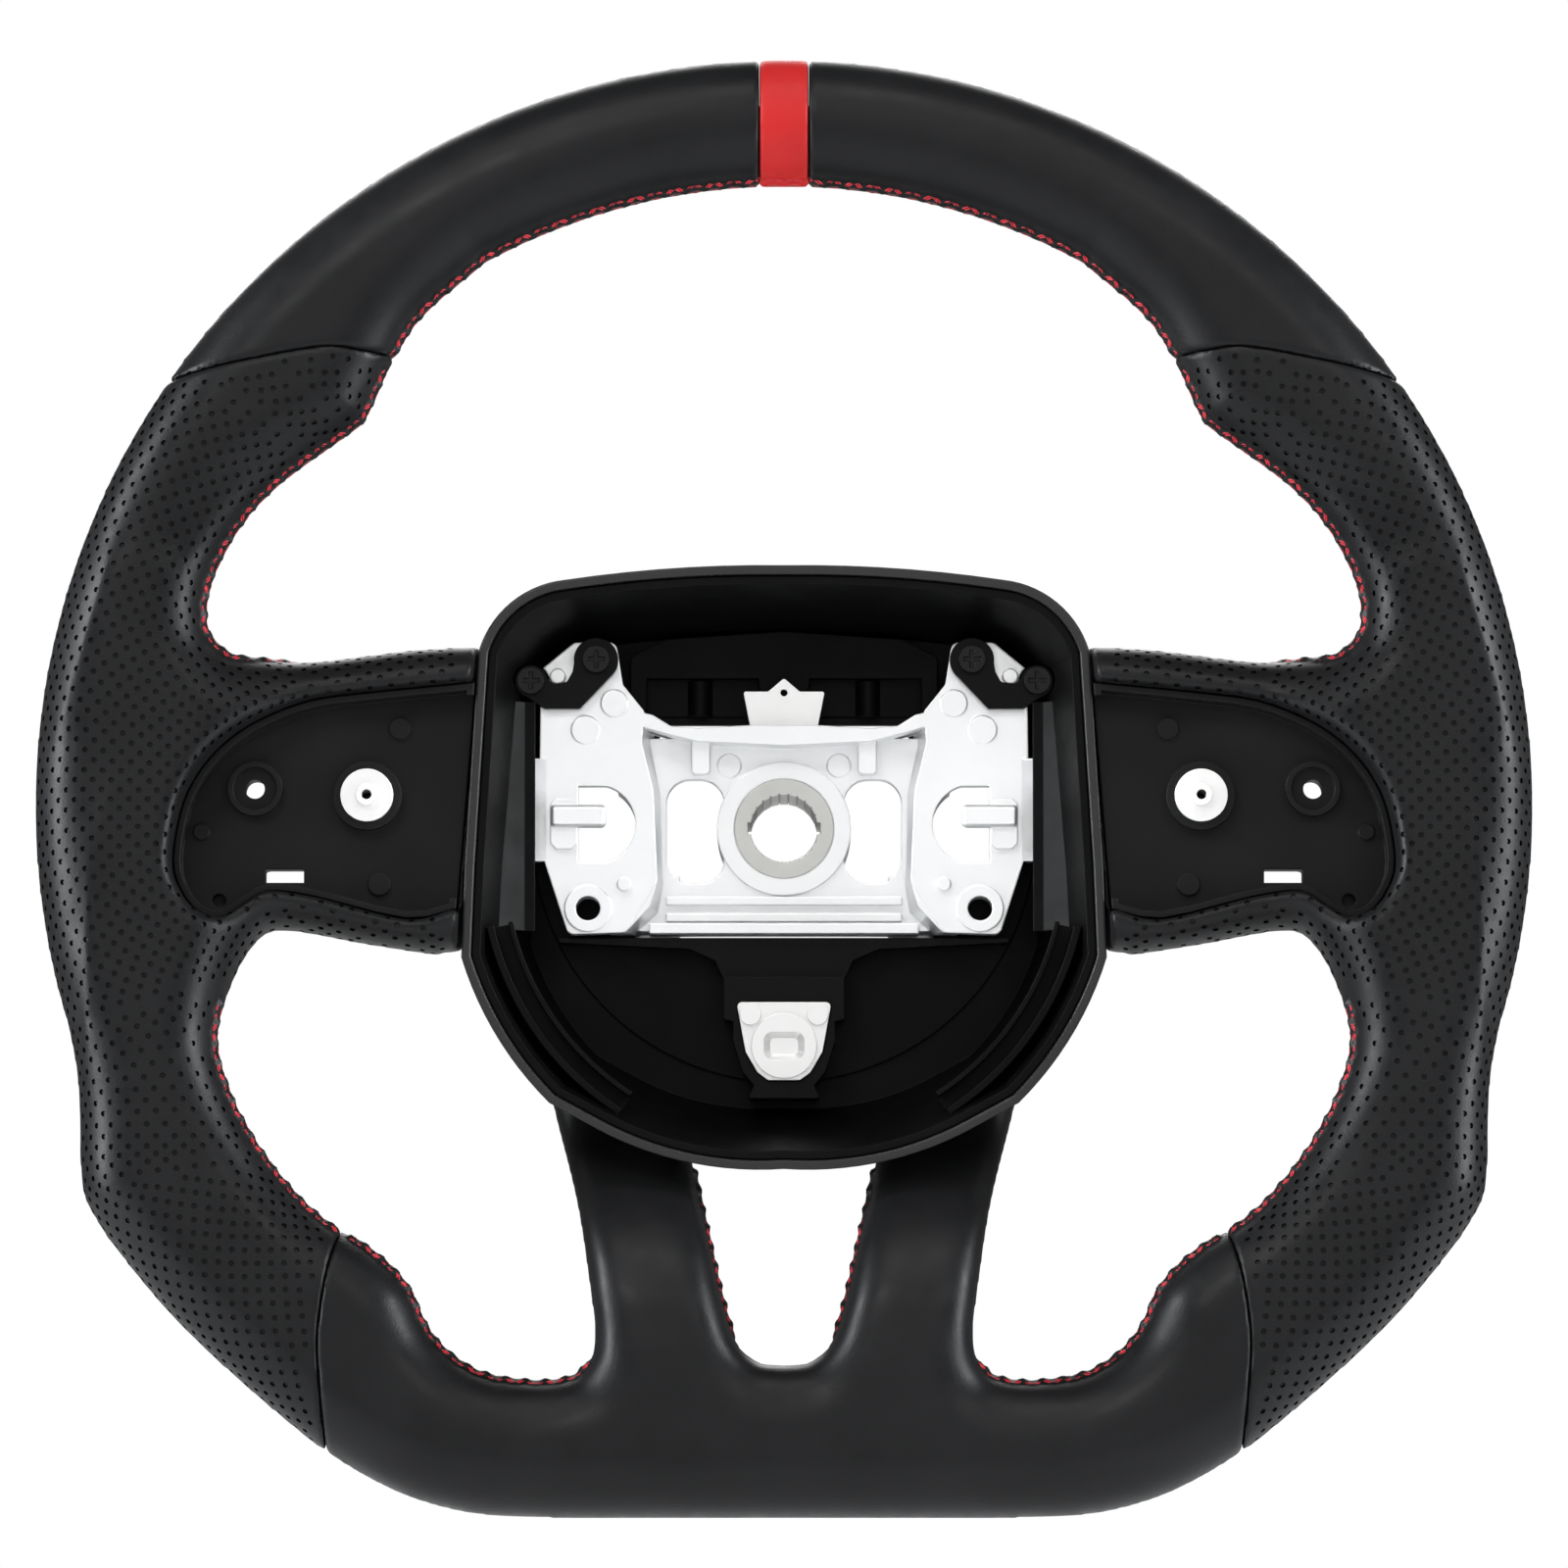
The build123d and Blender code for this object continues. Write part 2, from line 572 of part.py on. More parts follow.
def airbag_well():
    inset = COVER_WALL + WELL_CLEARANCE
    solid_space = tub_loft(inset, WELL_SHRINK, TUB_FRONT_Y + 1, WELL_FLOOR_Y)
    inner_back = WELL_FLOOR_Y - WELL_WALL
    depth = WELL_FLOOR_Y - TUB_FRONT_Y - 1
    inner_shrink = 1 - (1 - WELL_SHRINK) * (depth - WELL_WALL) / depth
    body_space = tub_loft(inset + WELL_WALL, inner_shrink, TUB_FRONT_Y + 1, inner_back)
    body = solid_space - body_space
    body += rod(0, 0, STEP_RADIUS, inner_back - STEP_HEIGHT, inner_back) & body_space
    x, z = COVER_SCREW
    boss = rod(x, z, SCREW_BOSS, BRACKET_BACK, WELL_FLOOR_Y) & solid_space
    body += both_sides(boss)
    body -= both_sides(rod(x, z, SCREW_BOSS, -60, BRACKET_BACK))
    body -= both_sides(rod(x, z, SCREW_SHANK, -60, BRACKET_BACK + 9))
    window = Pos(0, -1) * RectangleRounded(84, 56, 10)
    body -= plate(window, -60, 20)
    body -= d_view(D_VIEW[2])
    body += well_roof() + both_sides(well_rail())
    shroud = extrude(Plane.XY.offset(SHROUD_Z[0]) * outline(SHROUD_PATH, 0),
                     amount=SHROUD_Z[1] - SHROUD_Z[0])
    body += both_sides(shroud & solid_space)
    for cut in (arm(0.5), leg(0.5)):
        body -= both_sides(cut)
    return body


def well_rail():
    """Two curved guide walls on a thin foot, on the well's lower right side."""
    start, stop = RAIL_ANGLES
    foot = plate(sector(RAIL_RADII[0][0], RAIL_RADII[1][1], start, stop),
                 RAIL_BACK - 1.2, RAIL_BACK)
    for outer, inner in RAIL_RADII:
        foot += plate(sector(outer, inner, start, stop), RAIL_FRONT, RAIL_BACK)
    return foot


# ---- Trays ----
def spoke_tray():
    face = tray_face()
    body = plate(face, TRAY_FRONT, TRAY_BACK)
    body -= plate(offset(face, -TRAY_WALL), TRAY_FRONT - 1, TRAY_FLOOR)
    x0, x1, z0, z1 = TRAY_MOUTH
    body -= block(x0, x1, TRAY_FRONT - 1, TRAY_FLOOR, z0, z1)
    x, z = INSERT_SPOT
    body += rod(x, z, INSERT_HEAD + 2, INSERT_FRONT + 2, TRAY_FLOOR)
    body -= rod(x, z, INSERT_HEAD + 0.05, -80, TRAY_FLOOR - 1)
    body -= rod(x, z, INSERT_SLEEVE + 0.05, -80, 0)
    x, z, radius = TRAY_HOLE
    body += rod(x, z, TRAY_HOLE_SINK + 1.5, TRAY_FLOOR - 3, TRAY_FLOOR)
    body -= rod(x, z, TRAY_HOLE_SINK, -80, TRAY_FLOOR - 1)
    body -= rod(x, z, radius, -80, 0)
    x, z, radius = SKIRT_HOLE
    body -= rod(x, z, radius, -80, 0)
    x0, x1, z0, z1 = TRAY_SLOT
    body -= block(x0, x1, -80, 0, z0, z1)
    for x, z, radius in TRAY_BUTTONS:
        body += rod(x, z, radius, TRAY_FLOOR - 1.5, TRAY_FLOOR)
    return body


def switch_insert():
    """Threaded metal insert that takes the switch pod's screw."""
    x, z = INSERT_SPOT
    body = rod(x, z, INSERT_HEAD, INSERT_FRONT, TRAY_FLOOR - 1)
    body += rod(x, z, INSERT_SLEEVE, INSERT_FRONT - 2, TRAY_BACK)
    body -= rod(x, z, INSERT_THREAD, -80, 0)
    return body


def cross_recess():
    deep = 2 * RECESS_DEPTH
    return Box(RECESS_LENGTH, deep, RECESS_WIDTH) + Box(RECESS_WIDTH, deep, RECESS_LENGTH)


def screw(x, z, head_front, tip):
    """Pan head screw with a cross recess."""
    body = rod(x, z, SCREW_HEAD, head_front, head_front + HEAD_HEIGHT)
    body += rod(x, z, SCREW_SHANK - 0.1, head_front + HEAD_HEIGHT, tip)
    return body - Pos(x, head_front, z) * cross_recess()


# ---- Small parts in the tub ----
def corner_bracket():
    """Bent strap from the well's screw boss to the ear of the casting."""
    x, z, radius = BRACKET_LOBE
    body = plate(outline(BRACKET_FOOT, 1.0), BRACKET_FRONT, BRACKET_BACK)
    body += rod(x, z, radius, BRACKET_FRONT, BRACKET_BACK)
    body += rod(COVER_SCREW[0], COVER_SCREW[1], SCREW_BOSS - 0.3, BRACKET_FRONT, BRACKET_BACK)
    body -= rod(x, z, SCREW_SHANK, -60, 0)
    body -= rod(COVER_SCREW[0], COVER_SCREW[1], SCREW_SHANK, -60, 0)
    return body


def rear_screws():
    """Pan head screws that hold the rear cover."""
    body = None
    for x, z in REAR_SCREWS:
        one = rod(x, z, SCREW_HEAD, COVER_BACK_Y, COVER_BACK_Y + 2.2)
        one += rod(x, z, SCREW_SHANK - 0.1, COVER_BACK_Y - 6, COVER_BACK_Y)
        one -= Pos(x, COVER_BACK_Y + 2.2, z) * cross_recess()
        body = one if body is None else body + one
    return both_sides(body)


def locator_plate():
    body = plate(outline(LOCATOR_OUTLINE, 0.6), LOCATOR_FRONT, LOCATOR_BACK)
    foot = LOCATOR_OUTLINE[-1][1]
    body += block(-8.5, 8.5, LOCATOR_FRONT, WING_FRONT + 13, foot, foot + 2)
    body -= rod(0, 34, 0.9, -60, 0)
    return body


def lower_catch_frame():
    left = [(-x, z) for x, z in reversed(CATCH_FRAME_HALF)]
    face = outline(CATCH_FRAME_HALF + left, 0.6)
    floor = WELL_FLOOR_Y - WELL_WALL - STEP_HEIGHT
    body = plate(face, -16, floor)
    neck = plate(face, CATCH_FRONT + 1.5, -16) & block(-40, 40, -60, 0, -80, -38)
    body += neck
    pocket = offset(outline(CATCH_PLATE, 1.2), 0.2)
    body -= plate(pocket, -60, CATCH_FRONT + CATCH_THICKNESS)
    return body


def lower_catch_plate():
    body = plate(outline(CATCH_PLATE, 1.2), CATCH_FRONT, CATCH_FRONT + CATCH_THICKNESS)
    x, z, radius = CATCH_BUTTON
    for side in (-1, 1):
        body += rod(side * x, z, radius, CATCH_FRONT - 1, CATCH_FRONT)
    body -= rod(0, CATCH_Z, BUSH_RADIUS + 0.05, -60, CATCH_FRONT + BUSH_SEAT)
    return body


def lower_catch_bush():
    """Flanged bush with a blind socket that narrows towards its floor."""
    front = CATCH_FRONT - BUSH_PROUD
    body = rod(0, CATCH_Z, BUSH_FLANGE, front, CATCH_FRONT)
    body += rod(0, CATCH_Z, BUSH_RADIUS, CATCH_FRONT, CATCH_FRONT + BUSH_SEAT)
    mouth = Pos(0, CATCH_Z) * RectangleRounded(*SOCKET_MOUTH)
    floor = Pos(0, CATCH_Z) * RectangleRounded(*SOCKET_FLOOR)
    body -= loft([Plane.XZ.offset(-front) * mouth,
                  Plane.XZ.offset(-front - SOCKET_DEPTH) * floor], ruled=True)
    return body


# ---- Stitching ----
def stitching_upper():
    return both_sides(stitch_loft(TOP_STATIONS) + stitch_loft(GRIP_STATIONS[0:4]))


def stitching_lower():
    return stitch_loft(GRIP_STATIONS[5:] + BOTTOM_STATIONS[1:3])


core = rim_core_ring()
parts = {
    "armature_casting": armature_casting() - core,
    "hub_spline_insert": hub_spline_insert(),
    "rim_core_ring": core,
    "foam_top": foam_top(),
    "foam_bottom": foam_bottom(),
    "leather_centre_stripe": leather_centre_stripe(),
    "leather_bottom": leather_bottom(),
    "rear_cover": rear_cover(),
    "airbag_well": airbag_well(),
    "locator_plate": locator_plate(),
    "lower_catch_frame": lower_catch_frame(),
    "lower_catch_plate": lower_catch_plate(),
    "lower_catch_bush": lower_catch_bush(),
    "stitching_upper": stitching_upper(),
    "bracket_screws": both_sides(screw(BRACKET_LOBE[0], BRACKET_LOBE[1],
                                       BRACKET_FRONT - 2.4, WING_BACK)),
    "cover_screws": both_sides(screw(COVER_SCREW[0], COVER_SCREW[1],
                                     BRACKET_FRONT - 2.4, BRACKET_BACK + 8)),
    "rear_cover_screws": rear_screws(),
}
handed = {
    "foam_grip": foam_grip(),
    "leather_top": leather_top(),
    "leather_grip": leather_grip(),
    "spoke_tray": spoke_tray(),
    "switch_insert": switch_insert(),
    "corner_bracket": corner_bracket(),
    "airbag_catch": catch_pin(),
    "stitching_lower": stitching_lower(),
}
for name, shape in handed.items():
    parts[name + "_right"] = shape
    parts[name + "_left"] = other_side(shape)

for name, shape in parts.items():
    export_step(shape, f"parts/{name}.step")
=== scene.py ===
import json
import math

import bpy
import numpy as np
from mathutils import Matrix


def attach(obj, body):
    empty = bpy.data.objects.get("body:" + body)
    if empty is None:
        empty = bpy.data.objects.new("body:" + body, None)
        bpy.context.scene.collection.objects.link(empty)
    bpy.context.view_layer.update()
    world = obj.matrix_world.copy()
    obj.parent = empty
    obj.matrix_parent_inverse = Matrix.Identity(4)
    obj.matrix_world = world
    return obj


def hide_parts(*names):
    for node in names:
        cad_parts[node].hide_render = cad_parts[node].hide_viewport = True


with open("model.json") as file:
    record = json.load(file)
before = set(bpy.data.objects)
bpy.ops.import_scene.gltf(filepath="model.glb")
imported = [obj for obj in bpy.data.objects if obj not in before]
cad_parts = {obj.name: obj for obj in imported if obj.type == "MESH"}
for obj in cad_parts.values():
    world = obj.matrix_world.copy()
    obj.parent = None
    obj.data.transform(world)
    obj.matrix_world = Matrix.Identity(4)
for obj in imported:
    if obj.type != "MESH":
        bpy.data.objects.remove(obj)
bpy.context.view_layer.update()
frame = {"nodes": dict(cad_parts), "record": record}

import openvdb
from mathutils import Vector
from mathutils.bvhtree import BVHTree
from mathutils.kdtree import KDTree

# The leather is worked out in millimetres, as (x, z) in the wheel's plane and y in depth.
# -Y faces the driver. Everything is scaled to metres when its mesh is made.
MM = 0.001

# ---- Rim ----
RIM_CENTRE_Z = 3.6
RIM_RADIUS = 187.0
RIM_INNER_RADIUS = 155.4
RIM_PLANE_Y = -52.0
EDGE_RADIUS = 15.6            # rounding of every leather edge, seen from the front
HALF_DEPTH = 15.4             # of the rim's leather, before the spokes thin it
VOXEL = 0.75
GRID_X = (0, 190.5)           # the box in which the leather is worked out
GRID_Z = (-178.5, 194)
GRID_Y = (-72, 12)

# Outlines of the right half, each from the top down, after the arcs at the top.
ARC_END_OUTER = -17.5         # degrees
OUTER_POINTS = [(176.2, -64), (175.4, -76), (175.1, -88), (173.2, -97), (165, -109.5),
                (148.2, -128.8), (123.1, -151.2), (109.6, -161), (94.9, -168.8),
                (78.7, -173.4), (60, -174.7), (30, -174.8), (0, -174.8)]
ARC_END_INNER = 61.0
UPPER_POINTS = [(91.1, 125.6), (98.8, 113.3), (103.2, 103.8), (105.4, 99.4), (110, 95.6),
                (126.1, 83.8), (135.5, 73.7), (142, 62.2), (144.5, 53), (143.6, 45.6),
                (138.2, 40.9), (131, 39.4), (118, 39.3), (94.3, 42.1), (80, 42.9), (60, 43),
                (0, 43)]
LOWER_POINTS = [(66, -33), (84, -33.6), (88, -34), (104, -31.6), (124, -28.2), (131.5, -30.6),
                (137.9, -41.5), (141.4, -56), (138.2, -68.9), (132.1, -80.7), (124.2, -91.5),
                (114.7, -100.8), (103.4, -107.9), (94.1, -116.7), (87.5, -129.5), (77.2, -138),
                (63.7, -141.2), (53, -140.3), (48.2, -136), (46.9, -129), (48, -119),
                (51.5, -97.1), (57.6, -73.3), (62, -55)]
CENTRE_POINTS = [(26, -60), (23.3, -84), (19.2, -104.5), (15, -123), (11.8, -131.5),
                 (6.5, -136.2), (0, -137.2)]


def curve_through(points, step=0.5, closed=False):
    """Catmull-Rom curve through given points, sampled at an even step."""
    control = np.array(points, float)
    if closed:
        ring = np.vstack([control[-1:], control, control[:2]])
    else:
        ring = np.vstack([2 * control[0] - control[1], control, 2 * control[-1] - control[-2]])
    pieces = []
    for a, b, c, d in zip(ring, ring[1:], ring[2:], ring[3:]):
        count = max(2, int(np.linalg.norm(c - b) / step * 2))
        t = np.linspace(0, 1, count, endpoint=False)[:, None]
        pieces.append(0.5 * (2 * b + (c - a) * t + (2 * a - 5 * b + 4 * c - d) * t ** 2
                             + (3 * b - a - 3 * c + d) * t ** 3))
    if not closed:
        pieces.append(control[-1:])
    path = np.vstack(pieces)
    return resample(np.vstack([path, path[:1]]) if closed else path, step)


def lengths_along(path):
    """Length of a path up to each of its points."""
    return np.concatenate([[0], np.cumsum(np.linalg.norm(np.diff(path, axis=0), axis=1))])


def resample(path, step):
    lengths = lengths_along(path)
    marks = np.linspace(0, lengths[-1], max(2, int(round(lengths[-1] / step)) + 1))
    return np.stack([np.interp(marks, lengths, path[:, k]) for k in range(path.shape[1])], 1)


def arc(radius, start, stop, step=0.5):
    count = int(abs(math.radians(stop - start)) * radius / step) + 2
    turn = np.radians(np.linspace(start, stop, count))
    return np.stack([radius * np.cos(turn), RIM_CENTRE_Z + radius * np.sin(turn)], 1)


def with_mirror(half):
    """A closed outline from its right half, which runs from the Z axis back to the Z axis."""
    left = half[::-1] * (-1, 1)
    return np.vstack([half, left[1:-1]])


outer_arc = arc(RIM_RADIUS, 90, ARC_END_OUTER)
outer_half = np.vstack([outer_arc, curve_through([outer_arc[-1]] + OUTER_POINTS)[1:]])
inner_arc = arc(RIM_INNER_RADIUS, 90, ARC_END_INNER)
upper_half = np.vstack([inner_arc, curve_through([inner_arc[-1]] + UPPER_POINTS)[1:]])
lower_loop = curve_through(LOWER_POINTS, closed=True)
centre_half = np.vstack([[(0, -60)], curve_through(CENTRE_POINTS)])
outer_loop = with_mirror(outer_half)
upper_loop = with_mirror(upper_half)
centre_loop = with_mirror(centre_half)

TRAY = [(77.5, 33.5), (105, 30.8), (118, 29), (128.2, 25.4), (136.5, 20.8), (143.7, 14.2),
        (148.9, 6), (151.6, -3.5), (152.2, -14), (147.5, -22.6), (141, -25.2), (135.5, -22.2),
        (129, -18.6), (117, -20), (94.3, -25.4), (82, -23)]
tray_path = curve_through(TRAY)
tray_loop = resample(np.vstack([tray_path, tray_path[:1]]), 0.5)
TRAY_HOLE = (132.6, 7.5, 2.75)
TRAY_SLOT = (120.0, 130.2, -16.3, -12.3)
TUB = [(0, 63.5), (30, 62.6), (55, 59.8), (69.3, 53.4), (76.5, 42), (79.8, -12), (80.7, -35),
       (74, -51), (58.6, -71.5), (47, -77.8), (30, -84.8), (0, -88)]
tub_half = curve_through(TUB)
tub_loop = with_mirror(tub_half)


# ---- Signed distance in the wheel's plane ----
def distance_to(points, loop):
    """Distance from each point to a finely sampled loop."""
    best = np.empty(len(points), np.float32)
    loop = loop.astype(np.float32)
    loop_square = (loop ** 2).sum(1)
    for start in range(0, len(points), 20000):
        part = points[start:start + 20000]
        square = (part ** 2).sum(1)[:, None] + loop_square[None] - 2 * part @ loop.T
        best[start:start + 20000] = np.sqrt(np.maximum(square.min(1), 0))
    return best


def inside(points, loop):
    """True for the points inside a closed loop."""
    hit = np.zeros(len(points), bool)
    coarse = loop[::2]
    for (x0, z0), (x1, z1) in zip(coarse, np.roll(coarse, -1, axis=0)):
        crosses = (z0 > points[:, 1]) != (z1 > points[:, 1])
        if z0 != z1:
            level = x0 + (points[:, 1] - z0) * (x1 - x0) / (z1 - z0)
            hit ^= crosses & (points[:, 0] < level)
    return hit


def signed(points, loop):
    """Distance to a loop, negative inside it."""
    away = distance_to(points, loop)
    return np.where(inside(points, loop), -away, away)


def smooth_step(value, low, high):
    t = np.clip((value - low) / (high - low), 0, 1)
    return t * t * (3 - 2 * t)


def soft_max(a, b, radius):
    """Larger of two fields, with a rounded edge where they meet."""
    h = np.maximum(radius - np.abs(a - b), 0) / radius
    return np.maximum(a, b) + h * h * radius * 0.25


# ---- Leather body ----
# The lower spokes lean back towards the tub: (z, depth of the middle of the section).
SPOKE_DROP = [(-135, -52), (-118, -50), (-106, -45), (-97, -37), (-88, -24), (-80, -12),
              (-70, -4)]
DROP_EASE = 9                 # the drop's corners are eased over this far to each side
SIDE_SPOKE_BACK = 6.5         # the side spokes' middle is this much behind the rim's
SIDE_THINNER, LOWER_THINNER = 1.2, 1.5   # taken off HALF_DEPTH on the spokes
REAR_SWELL = 5.6              # extra depth at the back, over the casting's arm
LEG_SWELL = 3.0               # and over its leg, under the tub
SPOKE_SQUARENESS = 1.3        # over 2, the lower spokes' section is flatter than an ellipse
RIDGES = [
    ([(164, 12), (170.5, -4), (172.5, -24), (173.2, -53), (174.6, -80)], 1.6, 5.0),
    ([(167, 74), (170, 57), (177.5, 32), (182, 14)], 1.4, 5.0),
]
SCOOPS = [([(108, 98), (135, 86), (147, 76), (155, 60)], -2.0, 6.0)]
TRAY_DEPTH_Y = -41.0
TRAY_CLEARANCE = 0.4          # the leather's pocket is this much larger than the tray all round
TRAY_ROUNDING = 4.5
SIGHT_ROUNDING = 0.6
TUB_CLEARANCE = 0.7
TUB_ROUNDING = 1.6
FIELD_SCALE = 15              # turns the section's share into about a distance
FIELD_LIMIT = 4               # the field is only needed this near to the surface
TUB_FRONT_Y = -49.0
TUB_DRAFT = 0.27              # the tub's side walls come in by this much for each mm backwards
SEAM_GAP = 0.06
SEAM_ROUNDING = 1.2
STRIPE_HALF = 6.2
# The upper seam runs across the grip at (x, z), and the lower one down it at (z, x).
UPPER_SEAM = [(60, 113), (100.9, 115.5), (115.2, 116.5), (134.8, 113.1), (153.1, 109.2),
              (190, 101)]
LOWER_SEAM = [(-180, 112.3), (-157.9, 113.7), (-142, 115), (-128.2, 115.4), (-109.6, 112.2),
              (-95, 106), (-75, 90), (-50, 72), (-30, 58), (200, 58)]
UPPER_LINE = curve_through(UPPER_SEAM, 1.0).T
LOWER_LINE = curve_through(LOWER_SEAM, 1.0).T
UPPER_SLOPE = 0.985           # turns a height over the upper seam into a distance from it
MAPS = {}                     # the tray's and the tub's signed distances on the grid


def relief(points):
    """Crests and hollows of the grips on the driver's side, in millimetres."""
    total = np.zeros(len(points), np.float32)
    for line, height, width in RIDGES + SCOOPS:
        path = curve_through(line, 1.5)
        low, high = path.min(0) - 4 * width, path.max(0) + 4 * width
        pick = np.flatnonzero(((points > low) & (points < high)).all(1))
        square = ((points[pick][:, None] - path[None]) ** 2).sum(2)
        near = np.sqrt(square.min(1))
        share = square.argmin(1) / len(path)
        fade = smooth_step(share, 0, 0.25) * smooth_step(1 - share, 0, 0.2)
        crest = np.exp(-np.sqrt(near ** 2 + 0.3) / width)
        hollow = np.exp(-(near / width) ** 2)
        total[pick] += height * fade * (crest if height > 0 else hollow)
    return total


def eased_drop():
    """The lower spokes' drop at every millimetre of height, without corners."""
    levels = np.arange(-190, 40)
    depths = np.interp(levels, *np.array(SPOKE_DROP, float).T)
    kernel = np.hanning(2 * DROP_EASE + 3)[1:-1]
    padded = np.pad(depths, DROP_EASE, "edge")
    return levels, np.convolve(padded, kernel / kernel.sum(), "valid")


DROP_LEVELS, DROP_DEPTHS = eased_drop()


def spoke_share(x, z):
    """How far a place belongs to the lower spokes and to the side spokes, each 0 to 1."""
    lower = (1 - smooth_step(x, 62, 72)) * (z < -60)
    side = (1 - smooth_step(x, 120, 150)) * smooth_step(z, -64, -40) * (1 - smooth_step(z, 50, 76))
    return lower, side


def middle_depth(x, z):
    """Depth of the middle of the leather's section at places (x, z), for x from 0 up."""
    lower, side = spoke_share(x, z)
    drop = np.interp(z, DROP_LEVELS, DROP_DEPTHS) - RIM_PLANE_Y
    return RIM_PLANE_Y + lower * drop + side * SIDE_SPOKE_BACK


def leather_field():
    """Fields of the leather's pieces on one grid, for x from 0 up, negative inside."""
    xs = np.arange(*GRID_X, VOXEL, dtype=np.float32) + VOXEL / 2
    zs = np.arange(*GRID_Z, VOXEL, dtype=np.float32)
    ys = np.arange(*GRID_Y, VOXEL, dtype=np.float32)
    x, z = np.meshgrid(xs, zs, indexing="ij")
    flat = np.stack([x.ravel(), z.ravel()], 1)
    gap = np.maximum(signed(flat, outer_loop), -signed(flat, upper_loop))
    gap = np.maximum(gap, -signed(flat, lower_loop))
    gap = np.maximum(gap, -signed(flat, centre_loop))
    depth_in = -gap.reshape(x.shape)
    tray = signed(flat, tray_loop).reshape(x.shape)
    tub = signed(flat, tub_loop).reshape(x.shape)
    bumps = relief(flat).reshape(x.shape)
    middle = middle_depth(x, z).astype(np.float32)
    lower, side = spoke_share(x, z)
    thinner = SIDE_THINNER * side + LOWER_THINNER * lower * smooth_step(z, -125, -100)
    thick = HALF_DEPTH - thinner
    over_arm = ((1 - smooth_step(x, 154, 172)) * smooth_step(z, -38, -20)
                * (1 - smooth_step(z, 28, 46)))
    rear = REAR_SWELL * np.maximum(over_arm - side * smooth_step(x, 82, 98), 0)
    rear = rear + LEG_SWELL * lower * smooth_step(z, -114, -94)
    draft = (TUB_DRAFT + 0.05 * lower).astype(np.float32)
    across = np.maximum(EDGE_RADIUS - depth_in, 0) / EDGE_RADIUS
    square = (2 + SPOKE_SQUARENESS * lower * smooth_step(z, -150, -125)).astype(np.float32)
    across = across ** square
    hole = np.hypot(x - TRAY_HOLE[0], z - TRAY_HOLE[1]) - TRAY_HOLE[2]
    slot = np.maximum(np.maximum(TRAY_SLOT[0] - x, x - TRAY_SLOT[1]),
                      np.maximum(TRAY_SLOT[2] - z, z - TRAY_SLOT[3]))
    sight = np.minimum(hole, slot)
    field = np.empty(x.shape + (len(ys),), np.float32)
    for index, y in enumerate(ys):
        half = np.where(y < middle, thick + bumps, thick + rear)
        share = (across + (np.abs(y - middle) / half) ** square) ** (1 / square)
        body = (share - 1) * FIELD_SCALE
        pocket = np.maximum(tray - TRAY_CLEARANCE, y - TRAY_DEPTH_Y)
        body = soft_max(body, -pocket, TRAY_ROUNDING)
        body = soft_max(body, -sight, SIGHT_ROUNDING)
        cover = tub + max(y - TUB_FRONT_Y, 0) * draft - TUB_CLEARANCE
        field[:, :, index] = soft_max(body, -cover, TUB_ROUNDING)
    above = (z - np.interp(x, *UPPER_LINE)) * UPPER_SLOPE
    out = x - np.interp(z, *LOWER_LINE)
    MAPS.update(tray=tray, tub=tub)
    return xs, zs, ys, field, above.astype(np.float32), out.astype(np.float32), x


def mapped(name, place):
    """Signed distance from a place on the right half to the tray's or the tub's outline."""
    column = int(min(max(place.x / VOXEL, 0), MAPS[name].shape[0] - 1))
    row = int(min(max((place.z - GRID_Z[0]) / VOXEL, 0), MAPS[name].shape[1] - 1))
    return MAPS[name][column, row]


def turned_in(field, *bounds):
    """The field cut off where each bound is positive, with the leather's edge turned in."""
    for bound in bounds:
        field = soft_max(field, (bound + SEAM_GAP)[:, :, None], SEAM_ROUNDING)
    return field


def surface(xs, zs, ys, field, whole=False):
    """Points and quads of the field's zero level, on the left half too where whole is set."""
    keep = np.flatnonzero((field < 0).any((1, 2)))
    first, last = max(keep[0] - 4, 0), min(keep[-1] + 5, len(xs))
    part = field[first:last]
    start = xs[first]
    if whole:
        part = np.concatenate([part[::-1], part], axis=0)
        start = -xs[last - 1]
    grid = openvdb.FloatGrid(background=float(FIELD_LIMIT))
    grid.copyFromArray(np.ascontiguousarray(np.clip(part, -FIELD_LIMIT, FIELD_LIMIT)))
    points, quads = grid.convertToQuads(isovalue=0.0)
    place = np.stack([start + points[:, 0] * VOXEL, ys[0] + points[:, 2] * VOXEL,
                      zs[0] + points[:, 1] * VOXEL], 1)
    return place, quads


def leather_pieces():
    xs, zs, ys, field, above, out, x = leather_field()
    top = turned_in(field, -above)
    return {
        "stripe": surface(xs, zs, ys, turned_in(top, x - STRIPE_HALF), whole=True),
        "top": surface(xs, zs, ys, turned_in(top, STRIPE_HALF - x)),
        "grip": surface(xs, zs, ys, turned_in(field, above, -out)),
        "bottom": surface(xs, zs, ys, turned_in(field, above, out), whole=True),
    }


